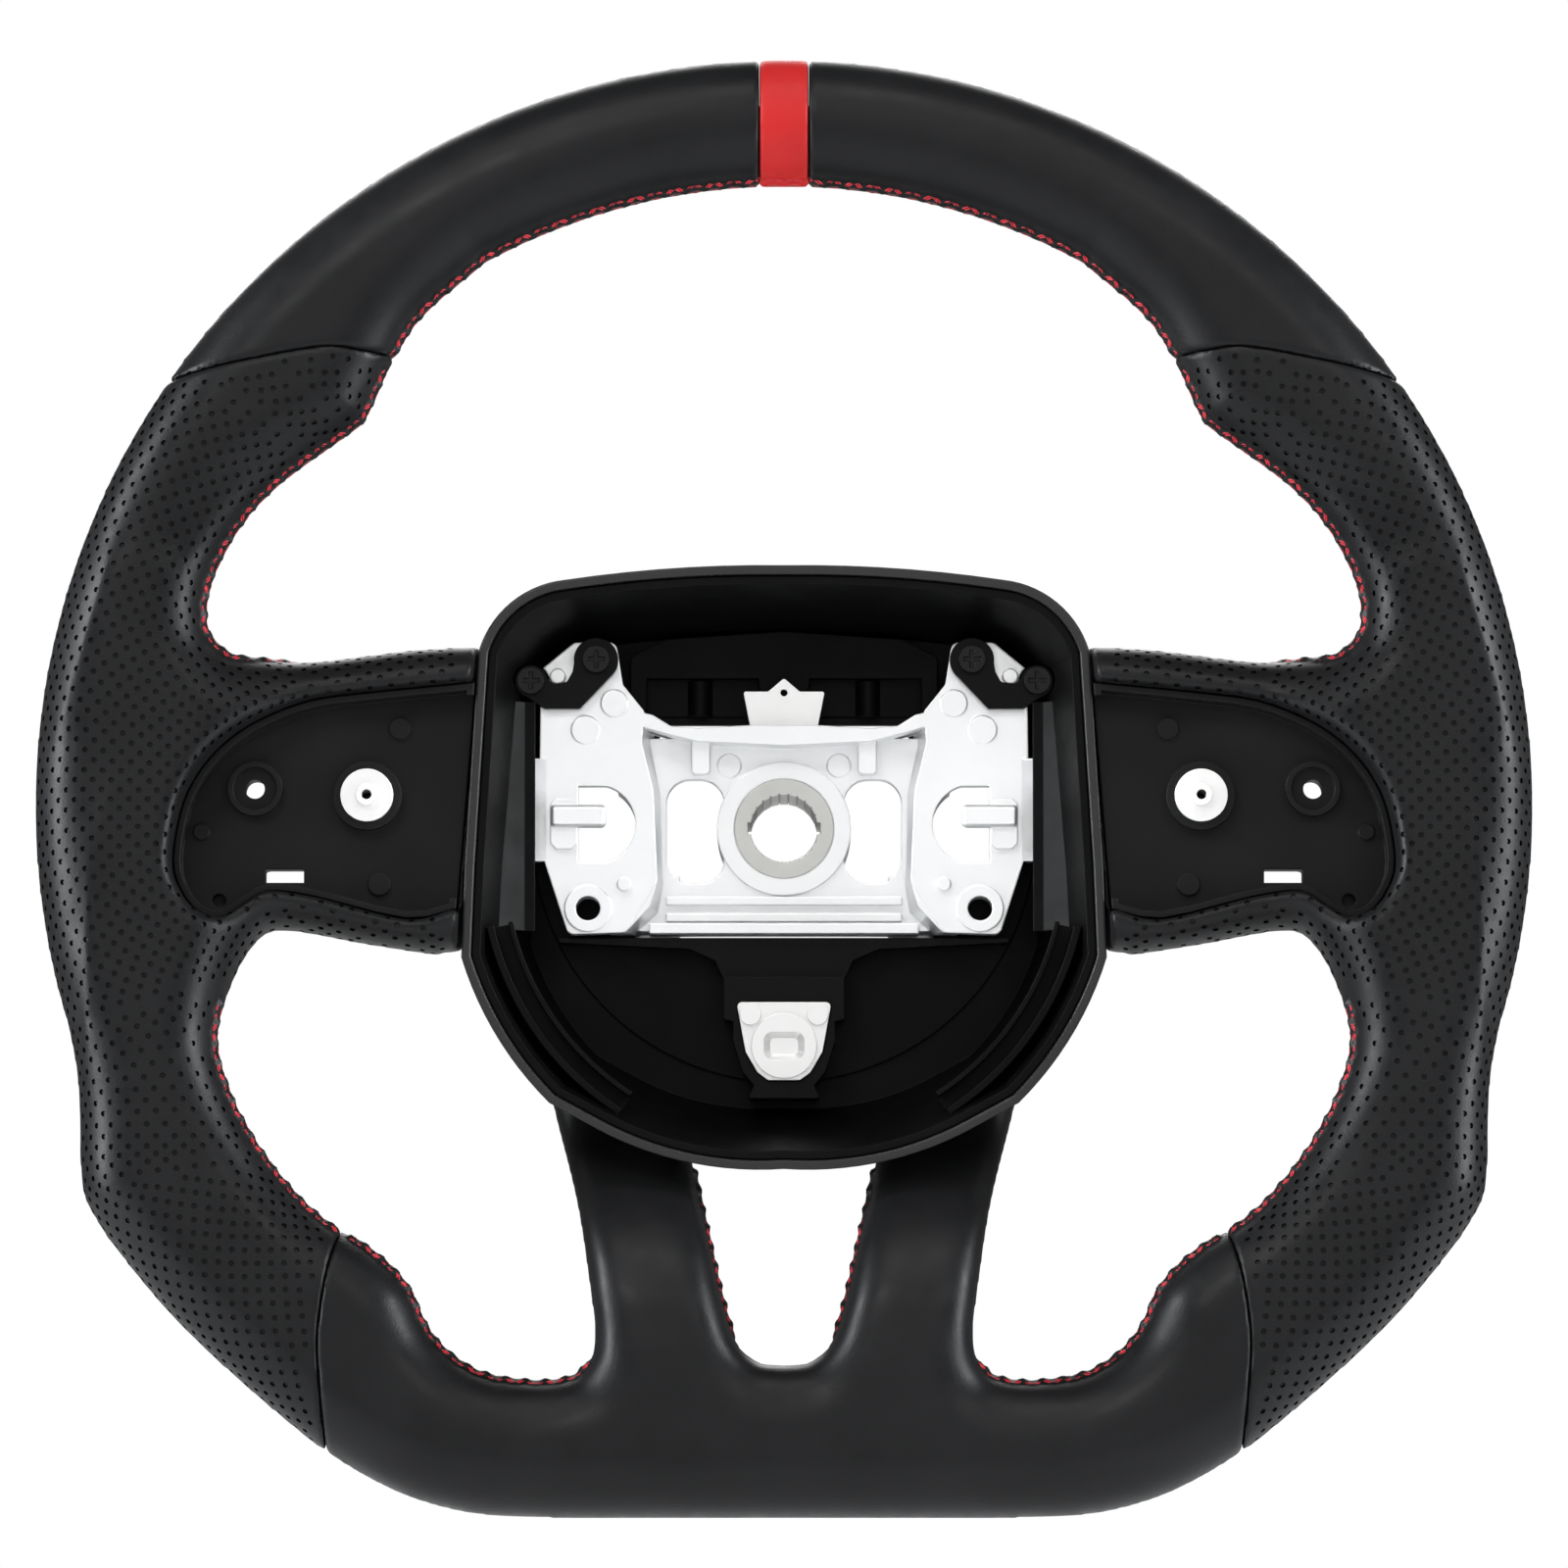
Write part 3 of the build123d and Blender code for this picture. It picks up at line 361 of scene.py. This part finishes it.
# ---- Stitching ----
STITCH_PITCH = 5.0            # from one crossing to the next
STITCH_RUN = 1.2              # along a row before crossing back
ROW_LOW, ROW_HIGH = 0.12, 0.36   # angle of the two rows from the inner line towards the driver
THREAD_RADIUS = 0.30
STRAND_APART = 0.8            # the two strands of a thread, along the seam
THREAD_STEP = 0.42
THREAD_LIFT = 0.10            # over the leather at the rows
THREAD_ARCH = 0.20            # more in the middle of a crossing
THREAD_OVER = 0.26            # and more again for the one that goes over the other
SEAM_STEP = 0.4
SEAM_PRESS = (0.75, 0.9)      # depth and width by which the seam pulls the leather in
THREAD_PRESS = (0.22, 0.7)
NORMAL_EASE = 4               # samples to each side over which an outline's normal is eased
RAY_START, RAY_REACH = 5, 26  # from the middle of the section out to the leather's surface


def tree_of(pieces):
    points, faces = [], []
    for place, quads in pieces:
        faces += (quads + sum(map(len, points))).tolist()
        points.append(place)
    return BVHTree.FromPolygons(np.vstack(points).tolist(), faces)


class Rail:
    """The seam along one opening: its places are a distance along and an angle round the edge."""

    def __init__(self, tree, line, shift):
        # The line runs clockwise, seen by the driver, with the opening on its right.
        self.tree = tree
        self.line = line
        self.shift = shift
        step = np.gradient(line, axis=0)
        normal = np.stack([step[:, 1], -step[:, 0]], 1)
        kernel = np.ones(2 * NORMAL_EASE + 1) / (2 * NORMAL_EASE + 1)
        padded = np.pad(normal, ((NORMAL_EASE, NORMAL_EASE), (0, 0)), "edge")
        normal = np.stack([np.convolve(padded[:, k], kernel, "valid") for k in (0, 1)], 1)
        self.normal = normal / np.linalg.norm(normal, axis=1)[:, None]
        self.length = lengths_along(line)

    def at(self, along, angle, lift=0.0):
        x, z = (np.interp(along, self.length, self.line[:, k]) for k in (0, 1))
        nx, nz = (np.interp(along, self.length, self.normal[:, k]) for k in (0, 1))
        size = math.hypot(nx, nz)
        nx, nz = nx / size, nz / size
        angle = angle + self.shift(x, z)
        cx, cz = x - nx * EDGE_RADIUS, z - nz * EDGE_RADIUS
        start = Vector((cx, float(middle_depth(np.float64(abs(cx)), np.float64(cz))), cz))
        way = Vector((nx * math.cos(angle), -math.sin(angle), nz * math.cos(angle)))
        hit = self.tree.ray_cast(start + way * RAY_START, way, RAY_REACH)[0]
        if hit is None:
            return start + way * EDGE_RADIUS
        return hit + way * lift


def crossing(along, offset):
    """How far across the seam a thread is, 0 to 1."""
    phase = (along + offset) % (2 * STITCH_PITCH)
    climb = STITCH_PITCH - STITCH_RUN
    if phase < STITCH_RUN:
        return 0.0
    if phase < STITCH_PITCH:
        return (phase - STITCH_RUN) / climb
    if phase < STITCH_PITCH + STITCH_RUN:
        return 1.0
    return 1 - (phase - STITCH_PITCH - STITCH_RUN) / climb


def threads_along(rail, start=0.0):
    """Centre lines of the two double threads that cross back and forth over the seam."""
    total = rail.length[-1]
    first = STITCH_PITCH / 2 + STITCH_RUN / 2
    marks = np.arange(start, total, THREAD_STEP)
    lines = []
    for number in (0, 1):
        for strand in (-0.5, 0.5):
            line = []
            for along in marks:
                across = crossing(along, first + number * STITCH_PITCH + strand * STRAND_APART)
                over = 4 * across * (1 - across)
                lift = THREAD_LIFT + THREAD_ARCH * over + (THREAD_OVER * over if number else 0)
                line.append(rail.at(along, ROW_LOW + (ROW_HIGH - ROW_LOW) * across, lift))
            lines.append(np.array(line))
    return lines


def tube(line, radius, sides=6):
    """Points and faces of a closed tube along a line."""
    step = np.gradient(line, axis=0)
    step /= np.linalg.norm(step, axis=1)[:, None]
    side = np.cross(step, (0.3, 0.2, 0.93))
    side /= np.linalg.norm(side, axis=1)[:, None]
    up = np.cross(step, side)
    turn = np.arange(sides) * 2 * math.pi / sides
    ring = side[:, None] * np.cos(turn)[:, None] + up[:, None] * np.sin(turn)[:, None]
    points = (line[:, None] + ring * radius).reshape(-1, 3)
    faces = []
    for i in range(len(line) - 1):
        for k in range(sides):
            a, b = i * sides + k, i * sides + (k + 1) % sides
            faces.append((a, b, b + sides, a + sides))
    faces.append(tuple(range(sides))[::-1])
    faces.append(tuple(range((len(line) - 1) * sides, len(line) * sides)))
    return points, faces


def outward(points, faces):
    """Unit vertex normals of a quad mesh."""
    corner = points[faces]
    normal = np.cross(corner[:, 2] - corner[:, 0], corner[:, 3] - corner[:, 1])
    total = np.zeros_like(points)
    for k in range(4):
        np.add.at(total, faces[:, k], normal)
    return total / np.maximum(np.linalg.norm(total, axis=1), 1e-9)[:, None]


def press_in(piece, lines, depth, width):
    """Pulls the leather in along lines, on both sides of x = 0, as a tight thread or seam does."""
    points, faces = piece
    normal = outward(points, faces)
    folded = points.astype(float)
    folded[:, 0] = np.abs(folded[:, 0])
    for line in lines:
        tree = KDTree(len(line))
        for index, place in enumerate(line):
            tree.insert(place, index)
        tree.balance()
        low, high = line.min(0) - 3 * width, line.max(0) + 3 * width
        for index in np.flatnonzero(((folded > low) & (folded < high)).all(1)):
            away = tree.find(folded[index])[2]
            if away < 3 * width:
                points[index] -= normal[index] * depth * math.exp(-(away / width) ** 2)


# ---- Perforation ----
HOLE_RADIUS = 0.60
HOLE_DEPTH = 2.0
HOLE_ROW = 2.65               # from one row to the next, along the grip
HOLE_PITCH = 4.6              # within a row, round the grip
HOLE_APART = 2.7
CLEAR_OF_SEAM = 2.6
CLEAR_OF_STITCH = 5.0
CLEAR_ON_SPOKE = 3.2
CLEAR_OF_TRAY = 2.4
CLEAR_OF_TUB = 3.5
WALK_STEPS = 4
REACH_BACK, REACH_FRONT = 130, 110   # how far a row may go from its first hole
ROW_START_Y = RIM_PLANE_Y - 12
# Level and share of the hole's radius, from a bit's tip up.
BIT_PROFILE = ((-HOLE_DEPTH, 0.8), (-0.25, 0.9), (0.0, 1.25), (0.6, 1.5))
BIT_SIDES = 8
# Lines along the side spoke, above and below its tray, whose rows run over the spoke's edges.
SPOKE_ROWS = [[(146, 36), (128, 34), (112, 35), (96, 36.5), (81, 38)],
              [(150, -34), (138, -30), (124, -24.5), (108, -27), (92, -30), (84, -30)]]


def walk(tree, place, normal, forward, sign, reach, stop):
    """Places a hole's pitch apart round the grip's section, by short steps over its surface."""
    anchor = place.copy()
    found = []
    for number in range(int(reach / HOLE_PITCH * WALK_STEPS)):
        place = place + normal.cross(forward).normalized() * (sign * HOLE_PITCH / WALK_STEPS)
        place -= forward * (place - anchor).dot(forward)
        place, normal, _, _ = tree.find_nearest(place)
        if stop(place):
            break
        if number % WALK_STEPS == WALK_STEPS - 1:
            found.append((place.copy(), normal.copy()))
    return found


def lattice(tree, line, stop, keep, holes, cells):
    """Adds holes, as place and way out, on rows across the line and clear of earlier holes."""
    step = np.gradient(line, axis=0)
    length = lengths_along(line)
    for row, along in enumerate(np.arange(HOLE_ROW, length[-1], HOLE_ROW)):
        x, z = (np.interp(along, length, line[:, k]) for k in (0, 1))
        tx, tz = (np.interp(along, length, step[:, k]) for k in (0, 1))
        forward = Vector((tx, 0, tz)).normalized()
        start, normal, _, _ = tree.find_nearest(Vector((x, ROW_START_Y, z)))
        if row % 2:
            half = walk(tree, start, normal, forward, -1, HOLE_PITCH, lambda p: False)
            middle = (start + half[0][0]) / 2
            start, normal, _, _ = tree.find_nearest(middle)
        found = [(start, normal)]
        found += walk(tree, start, normal, forward, -1, REACH_BACK, stop)
        found += walk(tree, start, normal, forward, 1, REACH_FRONT, stop)
        for place, out in found:
            if not keep(place, out):
                continue
            cell = tuple(int(c // HOLE_APART) for c in place)
            near = [p for i in (-1, 0, 1) for j in (-1, 0, 1) for k in (-1, 0, 1)
                    for p in cells.get((cell[0] + i, cell[1] + j, cell[2] + k), ())]
            if all((p - place).length > HOLE_APART for p in near):
                cells.setdefault(cell, []).append(place)
                holes.append((place, out))


def drills(holes):
    """Points and faces of one small countersunk bit at each hole."""
    sides = BIT_SIDES
    turn = np.arange(sides) * 2 * math.pi / sides
    points, faces = [], []
    for place, out in holes:
        side = out.orthogonal().normalized()
        up = out.cross(side)
        base = len(points)
        for level, size in BIT_PROFILE:
            for angle in turn:
                radius = HOLE_RADIUS * size
                points.append(place + out * level + side * (radius * math.cos(angle))
                              + up * (radius * math.sin(angle)))
        for ring in range(len(BIT_PROFILE) - 1):
            for k in range(sides):
                a, b = base + ring * sides + k, base + ring * sides + (k + 1) % sides
                faces.append((a, b, b + sides, a + sides))
        faces.append(tuple(base + k for k in reversed(range(sides))))
        faces.append(tuple(base + (len(BIT_PROFILE) - 1) * sides + k for k in range(sides)))
    return points, faces


# ---- Objects ----
def mesh_object(name, points, faces, mirror=False):
    points = np.array(points, float)
    faces = [tuple(face) for face in faces]
    if mirror:
        points = points * (-1, 1, 1)
        faces = [face[::-1] for face in faces]
    mesh = bpy.data.meshes.new(name)
    mesh.from_pydata((points * MM).tolist(), [], faces)
    mesh.update()
    obj = bpy.data.objects.new(name, mesh)
    bpy.context.scene.collection.objects.link(obj)
    return obj


def bored(obj, cutter):
    """The object with the cutter taken away, as plain points and faces in millimetres."""
    cut = obj.modifiers.new("holes", "BOOLEAN")
    cut.operation = "DIFFERENCE"
    cut.solver = "MANIFOLD"
    cut.object = cutter
    bpy.context.view_layer.update()
    depsgraph = bpy.context.evaluated_depsgraph_get()
    mesh = bpy.data.meshes.new_from_object(obj.evaluated_get(depsgraph))
    places = np.empty(len(mesh.vertices) * 3)
    mesh.vertices.foreach_get("co", places)
    faces = [tuple(polygon.vertices) for polygon in mesh.polygons]
    for old in (obj, cutter):
        bpy.data.objects.remove(old)
    bpy.data.meshes.remove(mesh)
    return places.reshape(-1, 3) / MM, faces


def finish_piece(obj, material, nodes=(), sharp=40):
    obj.data.materials.clear()
    obj.data.materials.append(material)
    obj.data.polygons.foreach_set("use_smooth", [True] * len(obj.data.polygons))
    obj.data.set_sharp_from_angle(angle=math.radians(sharp))
    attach(obj, "root")
    if nodes:
        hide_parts(*nodes)
    return obj


# ---- Materials ----
class Shader:
    """A Principled material with short calls to build its nodes."""

    def __init__(self, name, colour, roughness, metallic=0.0, specular=0.5):
        self.material = bpy.data.materials.new(name)
        self.material.use_nodes = True
        self.tree = self.material.node_tree
        self.main = self.tree.nodes["Principled BSDF"]
        self.main.inputs["Base Color"].default_value = (*colour, 1)
        self.main.inputs["Roughness"].default_value = roughness
        self.main.inputs["Metallic"].default_value = metallic
        self.main.inputs["Specular IOR Level"].default_value = specular
        self.place = self.tree.nodes.new("ShaderNodeTexCoord").outputs["Object"]
        self.height = None        # the normal so far, which the next layer of bump adds to

    def soft_edges(self, radius):
        """Rounds every sharp edge in the shading, by a radius in metres."""
        rounding = self.node("ShaderNodeBevel")
        rounding.samples = 6
        rounding.inputs["Radius"].default_value = radius
        self.height = rounding.outputs[0]
        self.link(self.height, self.main.inputs["Normal"])

    def node(self, kind):
        return self.tree.nodes.new(kind)

    def link(self, source, target):
        self.tree.links.new(source, target)

    def noise(self, scale, detail=3.0):
        texture = self.node("ShaderNodeTexNoise")
        texture.inputs["Scale"].default_value = scale
        texture.inputs["Detail"].default_value = detail
        texture.inputs["Roughness"].default_value = 0.55
        self.link(self.place, texture.inputs["Vector"])
        return texture.outputs["Fac"]

    def cells(self, scale):
        """Distance from the middle of irregular cells, as leather's pores and creases have."""
        warp = self.node("ShaderNodeTexNoise")
        warp.inputs["Scale"].default_value = scale * 0.6
        self.link(self.place, warp.inputs["Vector"])
        moved = self.node("ShaderNodeVectorMath")
        moved.operation = "MULTIPLY_ADD"
        self.link(warp.outputs["Color"], moved.inputs[0])
        moved.inputs[1].default_value = (0.6 / scale,) * 3
        self.link(self.place, moved.inputs[2])
        texture = self.node("ShaderNodeTexVoronoi")
        texture.inputs["Scale"].default_value = scale
        self.link(moved.outputs[0], texture.inputs["Vector"])
        return texture.outputs["Distance"]

    def ramp(self, source, low, high, start=0.3, stop=0.7):
        """A number from low to high as the source goes from start to stop."""
        spread = self.node("ShaderNodeMapRange")
        for name, value in (("From Min", start), ("From Max", stop),
                            ("To Min", low), ("To Max", high)):
            spread.inputs[name].default_value = value
        self.link(source, spread.inputs["Value"])
        return spread.outputs[0]

    def colours(self, source, first, second):
        mix = self.node("ShaderNodeMix")
        mix.data_type = "RGBA"
        self.link(self.ramp(source, 0, 1), mix.inputs["Factor"])
        mix.inputs["A"].default_value = (*first, 1)
        mix.inputs["B"].default_value = (*second, 1)
        self.link(mix.outputs["Result"], self.main.inputs["Base Color"])

    def rough(self, source, low, high):
        self.link(self.ramp(source, low, high), self.main.inputs["Roughness"])

    def bump(self, source, depth, strength=1.0):
        """One more layer of bump, depth in metres."""
        layer = self.node("ShaderNodeBump")
        layer.inputs["Strength"].default_value = strength
        layer.inputs["Distance"].default_value = depth
        self.link(source, layer.inputs["Height"])
        if self.height is not None:
            self.link(self.height, layer.inputs["Normal"])
        self.height = layer.outputs[0]
        self.link(self.height, self.main.inputs["Normal"])


def leather(name, dark, light, roughness, specular=0.14):
    shade = Shader(name, dark, roughness, specular=specular)
    pores = shade.cells(1150)
    creases = shade.cells(420)
    shade.colours(shade.noise(35, 4), dark, light)
    shade.rough(shade.noise(160, 3), roughness - 0.05, roughness + 0.06)
    shade.bump(shade.ramp(pores, 0, 1, 0.05, 0.55), 0.00005, 0.28)
    shade.bump(creases, 0.00005, 0.25)
    shade.bump(shade.noise(60, 2), 0.0003, 0.08)
    return shade.material


def moulded(name, dark, light, roughness, grain=900, depth=0.00003, specular=0.12,
            edge=0.0005):
    shade = Shader(name, dark, roughness, specular=specular)
    shade.soft_edges(edge)
    shade.colours(shade.noise(40, 3), dark, light)
    shade.rough(shade.noise(110, 4), roughness - 0.04, roughness + 0.05)
    shade.bump(shade.noise(grain, 2), depth, 0.5)
    return shade.material


def cast(name, dark, light, roughness, metallic=1.0, edge=0.0006):
    shade = Shader(name, light, roughness, metallic=metallic)
    shade.soft_edges(edge)
    shade.colours(shade.noise(28, 5), dark, light)
    shade.rough(shade.noise(300, 4), roughness - 0.04, roughness + 0.06)
    shade.bump(shade.noise(700, 3), 0.00004, 0.35)
    return shade.material


def thread(name):
    shade = Shader(name, (0.42, 0.012, 0.022), 0.55, specular=0.3)
    shade.colours(shade.noise(900, 2), (0.28, 0.006, 0.014), (0.52, 0.022, 0.036))
    twist = shade.node("ShaderNodeTexWave")
    twist.bands_direction = "DIAGONAL"
    twist.inputs["Scale"].default_value = 900
    twist.inputs["Distortion"].default_value = 1.5
    shade.link(shade.place, twist.inputs["Vector"])
    shade.bump(twist.outputs["Fac"], 0.00012, 0.7)
    return shade.material


LOOKS = {
    "leather_smooth": leather("smooth leather", (0.0050, 0.0051, 0.0055),
                              (0.0072, 0.0073, 0.0078), 0.40),
    "leather_perforated": leather("perforated leather", (0.0056, 0.0057, 0.0061),
                                  (0.0078, 0.0079, 0.0084), 0.40),
    "leather_red": leather("red leather", (0.34, 0.012, 0.012), (0.42, 0.017, 0.016), 0.44),
    "thread_red": thread("red thread"),
    "foam": moulded("rim foam", (0.02, 0.02, 0.02), (0.035, 0.035, 0.035), 0.85, 2500, 0.0001),
    "cast_metal": cast("cast magnesium", (0.80, 0.805, 0.81), (0.86, 0.865, 0.87), 0.36, 0.8),
    "steel": cast("zinc-plated steel", (0.48, 0.48, 0.46), (0.56, 0.56, 0.54), 0.38, 0.8),
    "core_steel": cast("core steel", (0.20, 0.20, 0.21), (0.30, 0.30, 0.31), 0.45),
    "black_plastic": moulded("black plastic", (0.0018, 0.0018, 0.0019),
                             (0.0028, 0.0028, 0.0029), 0.30, specular=0.09),
    "black_screw": moulded("black screws", (0.002, 0.002, 0.002), (0.004, 0.004, 0.004), 0.20,
                           2000, 0.00001, specular=0.18, edge=0.0003),
    "bright_metal": cast("bright metal", (0.80, 0.80, 0.79), (0.86, 0.86, 0.85), 0.36, 0.75,
                         0.0002),
}
# Plastic parts whose finish differs from the rest of the black plastic.
TRAY_PLASTIC = moulded("tray plastic", (0.0055, 0.0055, 0.0057), (0.0080, 0.0080, 0.0083), 0.42)
OWN_LOOK = {
    "airbag_well": moulded("well plastic", (0.0012, 0.0012, 0.0013),
                           (0.0022, 0.0022, 0.0023), 0.40, specular=0.07),
    "rear_cover": moulded("cover plastic", (0.0045, 0.0045, 0.0047),
                          (0.0065, 0.0065, 0.0067), 0.30, specular=0.42, edge=0.0009),
    "spoke_tray_left": TRAY_PLASTIC,
    "spoke_tray_right": TRAY_PLASTIC,
}


# ---- Build the leather ----
pieces = leather_pieces()
tree = tree_of(pieces.values())


def near(line, x, z):
    return int(((line - (x, z)) ** 2).sum(1).argmin())


def stretch_of(line, start, stop):
    """The part of a sampled outline from near one place to near another."""
    a, b = near(line, *start), near(line, *stop)
    return line[a:b + 1] if a < b else np.vstack([line[a:], line[1:b + 1]])


def shift_upper(x, z):
    """The upper seam turns to the inner side of the edge along the side spoke."""
    return -0.45 * float((1 - smooth_step(x, 118, 140)) * (z < 60))


RAILS = {
    "upper": Rail(tree, stretch_of(upper_half, (0, 159), (84, 43)), shift_upper),
    "lower": Rail(tree, stretch_of(lower_loop, (139.5, -47), (47.6, -137)), lambda x, z: 0.0),
    "centre": Rail(tree, stretch_of(centre_half, (22.6, -88), (12.5, -130)), lambda x, z: -0.3),
}
THREADS = {name: threads_along(rail) for name, rail in RAILS.items()}
SEAMS = {}
for name, rail in RAILS.items():
    marks = np.arange(0, rail.length[-1], SEAM_STEP)
    SEAMS[name] = np.array([rail.at(a, (ROW_LOW + ROW_HIGH) / 2) for a in marks])
for piece in pieces.values():
    press_in(piece, SEAMS.values(), *SEAM_PRESS)
    press_in(piece, [line for pair in THREADS.values() for line in pair], *THREAD_PRESS)

seam_tree = KDTree(sum(len(line) for line in SEAMS.values()))
for place in np.vstack(list(SEAMS.values())):
    seam_tree.insert(place, 0)
seam_tree.balance()


def stop_walk(place):
    on_spoke = place.x < 135 and place.z > 20
    if seam_tree.find(place)[2] < (CLEAR_ON_SPOKE if on_spoke else CLEAR_OF_STITCH):
        return True
    return mapped("tub", place) < CLEAR_OF_TUB


def keep_hole(place, out):
    above = place.z - np.interp(place.x, *UPPER_LINE)
    beside = place.x - np.interp(place.z, *LOWER_LINE)
    if above > -CLEAR_OF_SEAM or beside < CLEAR_OF_SEAM:
        return False
    return out.y > 0.3 or mapped("tray", place) > CLEAR_OF_TRAY


grip_line = resample(outer_half[near(outer_half, 118, 149):near(outer_half, 92, -170)], 0.5)
holes, taken = [], {}
lattice(tree, grip_line, stop_walk, keep_hole, holes, taken)
for edge in SPOKE_ROWS:
    lattice(tree, resample(curve_through(edge), 0.5), stop_walk, keep_hole, holes, taken)
grip = mesh_object("grip_blank", *pieces["grip"])
bits = mesh_object("bits", *drills(holes))
grip_mesh = bored(grip, bits)

SMOOTH, PUNCHED = LOOKS["leather_smooth"], LOOKS["leather_perforated"]
finish_piece(mesh_object("rim_top_leather_right", *pieces["top"]), SMOOTH,
             ["leather_top_right"])
finish_piece(mesh_object("rim_top_leather_left", *pieces["top"], mirror=True), SMOOTH,
             ["leather_top_left", "foam_top"])
finish_piece(mesh_object("centre_stripe", *pieces["stripe"]), LOOKS["leather_red"],
             ["leather_centre_stripe"])
finish_piece(mesh_object("grip_leather_right", *grip_mesh), PUNCHED,
             ["leather_grip_right", "foam_grip_right"])
finish_piece(mesh_object("grip_leather_left", *grip_mesh, mirror=True), PUNCHED,
             ["leather_grip_left", "foam_grip_left"])
finish_piece(mesh_object("bottom_leather", *pieces["bottom"]), SMOOTH,
             ["leather_bottom", "foam_bottom"])


def stitched(name, lines, mirrors, nodes):
    points, faces = [], []
    for mirror in mirrors:
        for line in lines:
            some, quads = tube(line, THREAD_RADIUS)
            if mirror:
                some = some * (-1, 1, 1)
                quads = [face[::-1] for face in quads]
            faces += [tuple(k + len(points) for k in face) for face in quads]
            points += some.tolist()
    finish_piece(mesh_object(name, points, faces), LOOKS["thread_red"], nodes, 60)


stitched("stitches_upper", THREADS["upper"], (False, True), ["stitching_upper"])
stitched("stitches_lower_right", THREADS["lower"], (False,), ["stitching_lower_right"])
stitched("stitches_lower_left", THREADS["lower"], (True,), ["stitching_lower_left"])
stitched("stitches_centre", THREADS["centre"], (False, True), [])

# ---- Carried-over CAD pieces ----
SLOT_OF = {entry["node"]: entry["material_slot"] for entry in frame["record"]["subparts"]}
for name, node in frame["nodes"].items():
    if node.hide_render:
        continue
    look = OWN_LOOK.get(name, LOOKS[SLOT_OF[name]])
    if not node.material_slots:
        node.data.materials.append(look)
    for place in node.material_slots:
        place.material = look


# ---- Camera, floor and light ----
AIM = Vector((0, 0, 0.0127))
CAMERA_DISTANCE = 2.6
CAMERA_ELEVATION = math.radians(-5)
FRAME_WIDTH = 0.400           # what the picture takes in, in the plane of the aim
SENSOR_WIDTH = 36
FLOOR_Z = -0.5
FLOOR_HALF = 3

camera = bpy.data.objects.new("camera", bpy.data.cameras.new("camera"))
bpy.context.scene.collection.objects.link(camera)
back = Vector((0, -math.cos(CAMERA_ELEVATION), math.sin(CAMERA_ELEVATION)))
camera.location = AIM + back * CAMERA_DISTANCE
camera.rotation_mode = "QUATERNION"
camera.rotation_quaternion = (-back).to_track_quat("-Z", "Y")
camera.data.sensor_width = SENSOR_WIDTH
camera.data.lens = SENSOR_WIDTH * CAMERA_DISTANCE / FRAME_WIDTH
camera.data.clip_end = 20
bpy.context.scene.camera = camera

floor_mesh = bpy.data.meshes.new("floor")
floor_mesh.from_pydata([(x * FLOOR_HALF, y * FLOOR_HALF, FLOOR_Z)
                        for x, y in ((-1, -1), (1, -1), (1, 1), (-1, 1))], [], [(0, 1, 2, 3)])
floor = bpy.data.objects.new("floor", floor_mesh)
bpy.context.scene.collection.objects.link(floor)
pale = Shader("pale floor", (0.82, 0.82, 0.82), 0.8)
pale.colours(pale.noise(3, 2), (0.80, 0.80, 0.80), (0.84, 0.84, 0.84))
floor_mesh.materials.append(pale.material)


def softbox(name, place, aim, size, power, tint=(1, 1, 1)):
    lamp = bpy.data.lights.new(name, "AREA")
    lamp.shape = "RECTANGLE"
    lamp.size, lamp.size_y = size
    lamp.energy = power
    lamp.color = tint
    obj = bpy.data.objects.new(name, lamp)
    obj.location = place
    obj.rotation_mode = "QUATERNION"
    obj.rotation_quaternion = (Vector(aim) - Vector(place)).to_track_quat("-Z", "Y")
    bpy.context.scene.collection.objects.link(obj)


WHEEL = (0, -0.03, 0)
COOL = (0.95, 0.975, 1)
softbox("left", (-1.7, -0.40, 0.35), WHEEL, (0.5, 1.4), 62, COOL)
softbox("right", (1.7, -0.40, 0.30), WHEEL, (0.5, 1.4), 56, COOL)
softbox("top", (0.0, -0.9, 1.5), WHEEL, (1.4, 0.5), 10)
softbox("front", (0.0, -2.8, 0.35), WHEEL, (1.6, 1.2), 7)
softbox("front left", (-0.7, -2.0, 1.3), WHEEL, (0.6, 0.6), 15)
softbox("front right", (0.9, -2.0, 1.1), WHEEL, (0.6, 0.6), 8)
softbox("back", (0.0, 1.6, 1.0), (0, 0, 0), (1.4, 0.8), 16)

world = bpy.data.worlds.new("studio")
bpy.context.scene.world = world
world.use_nodes = True
nodes, links = world.node_tree.nodes, world.node_tree.links
surround = nodes["Background"]
surround.inputs["Color"].default_value = (1, 1, 1, 1)
surround.inputs["Strength"].default_value = 0.12
backdrop = nodes.new("ShaderNodeBackground")
backdrop.inputs["Color"].default_value = (1, 1, 1, 1)
backdrop.inputs["Strength"].default_value = 1.0
ray = nodes.new("ShaderNodeLightPath")
mix = nodes.new("ShaderNodeMixShader")
links.new(ray.outputs["Is Camera Ray"], mix.inputs[0])
links.new(surround.outputs[0], mix.inputs[1])
links.new(backdrop.outputs[0], mix.inputs[2])
links.new(mix.outputs[0], nodes["World Output"].inputs["Surface"])
bpy.context.scene.view_settings.view_transform = "Standard"
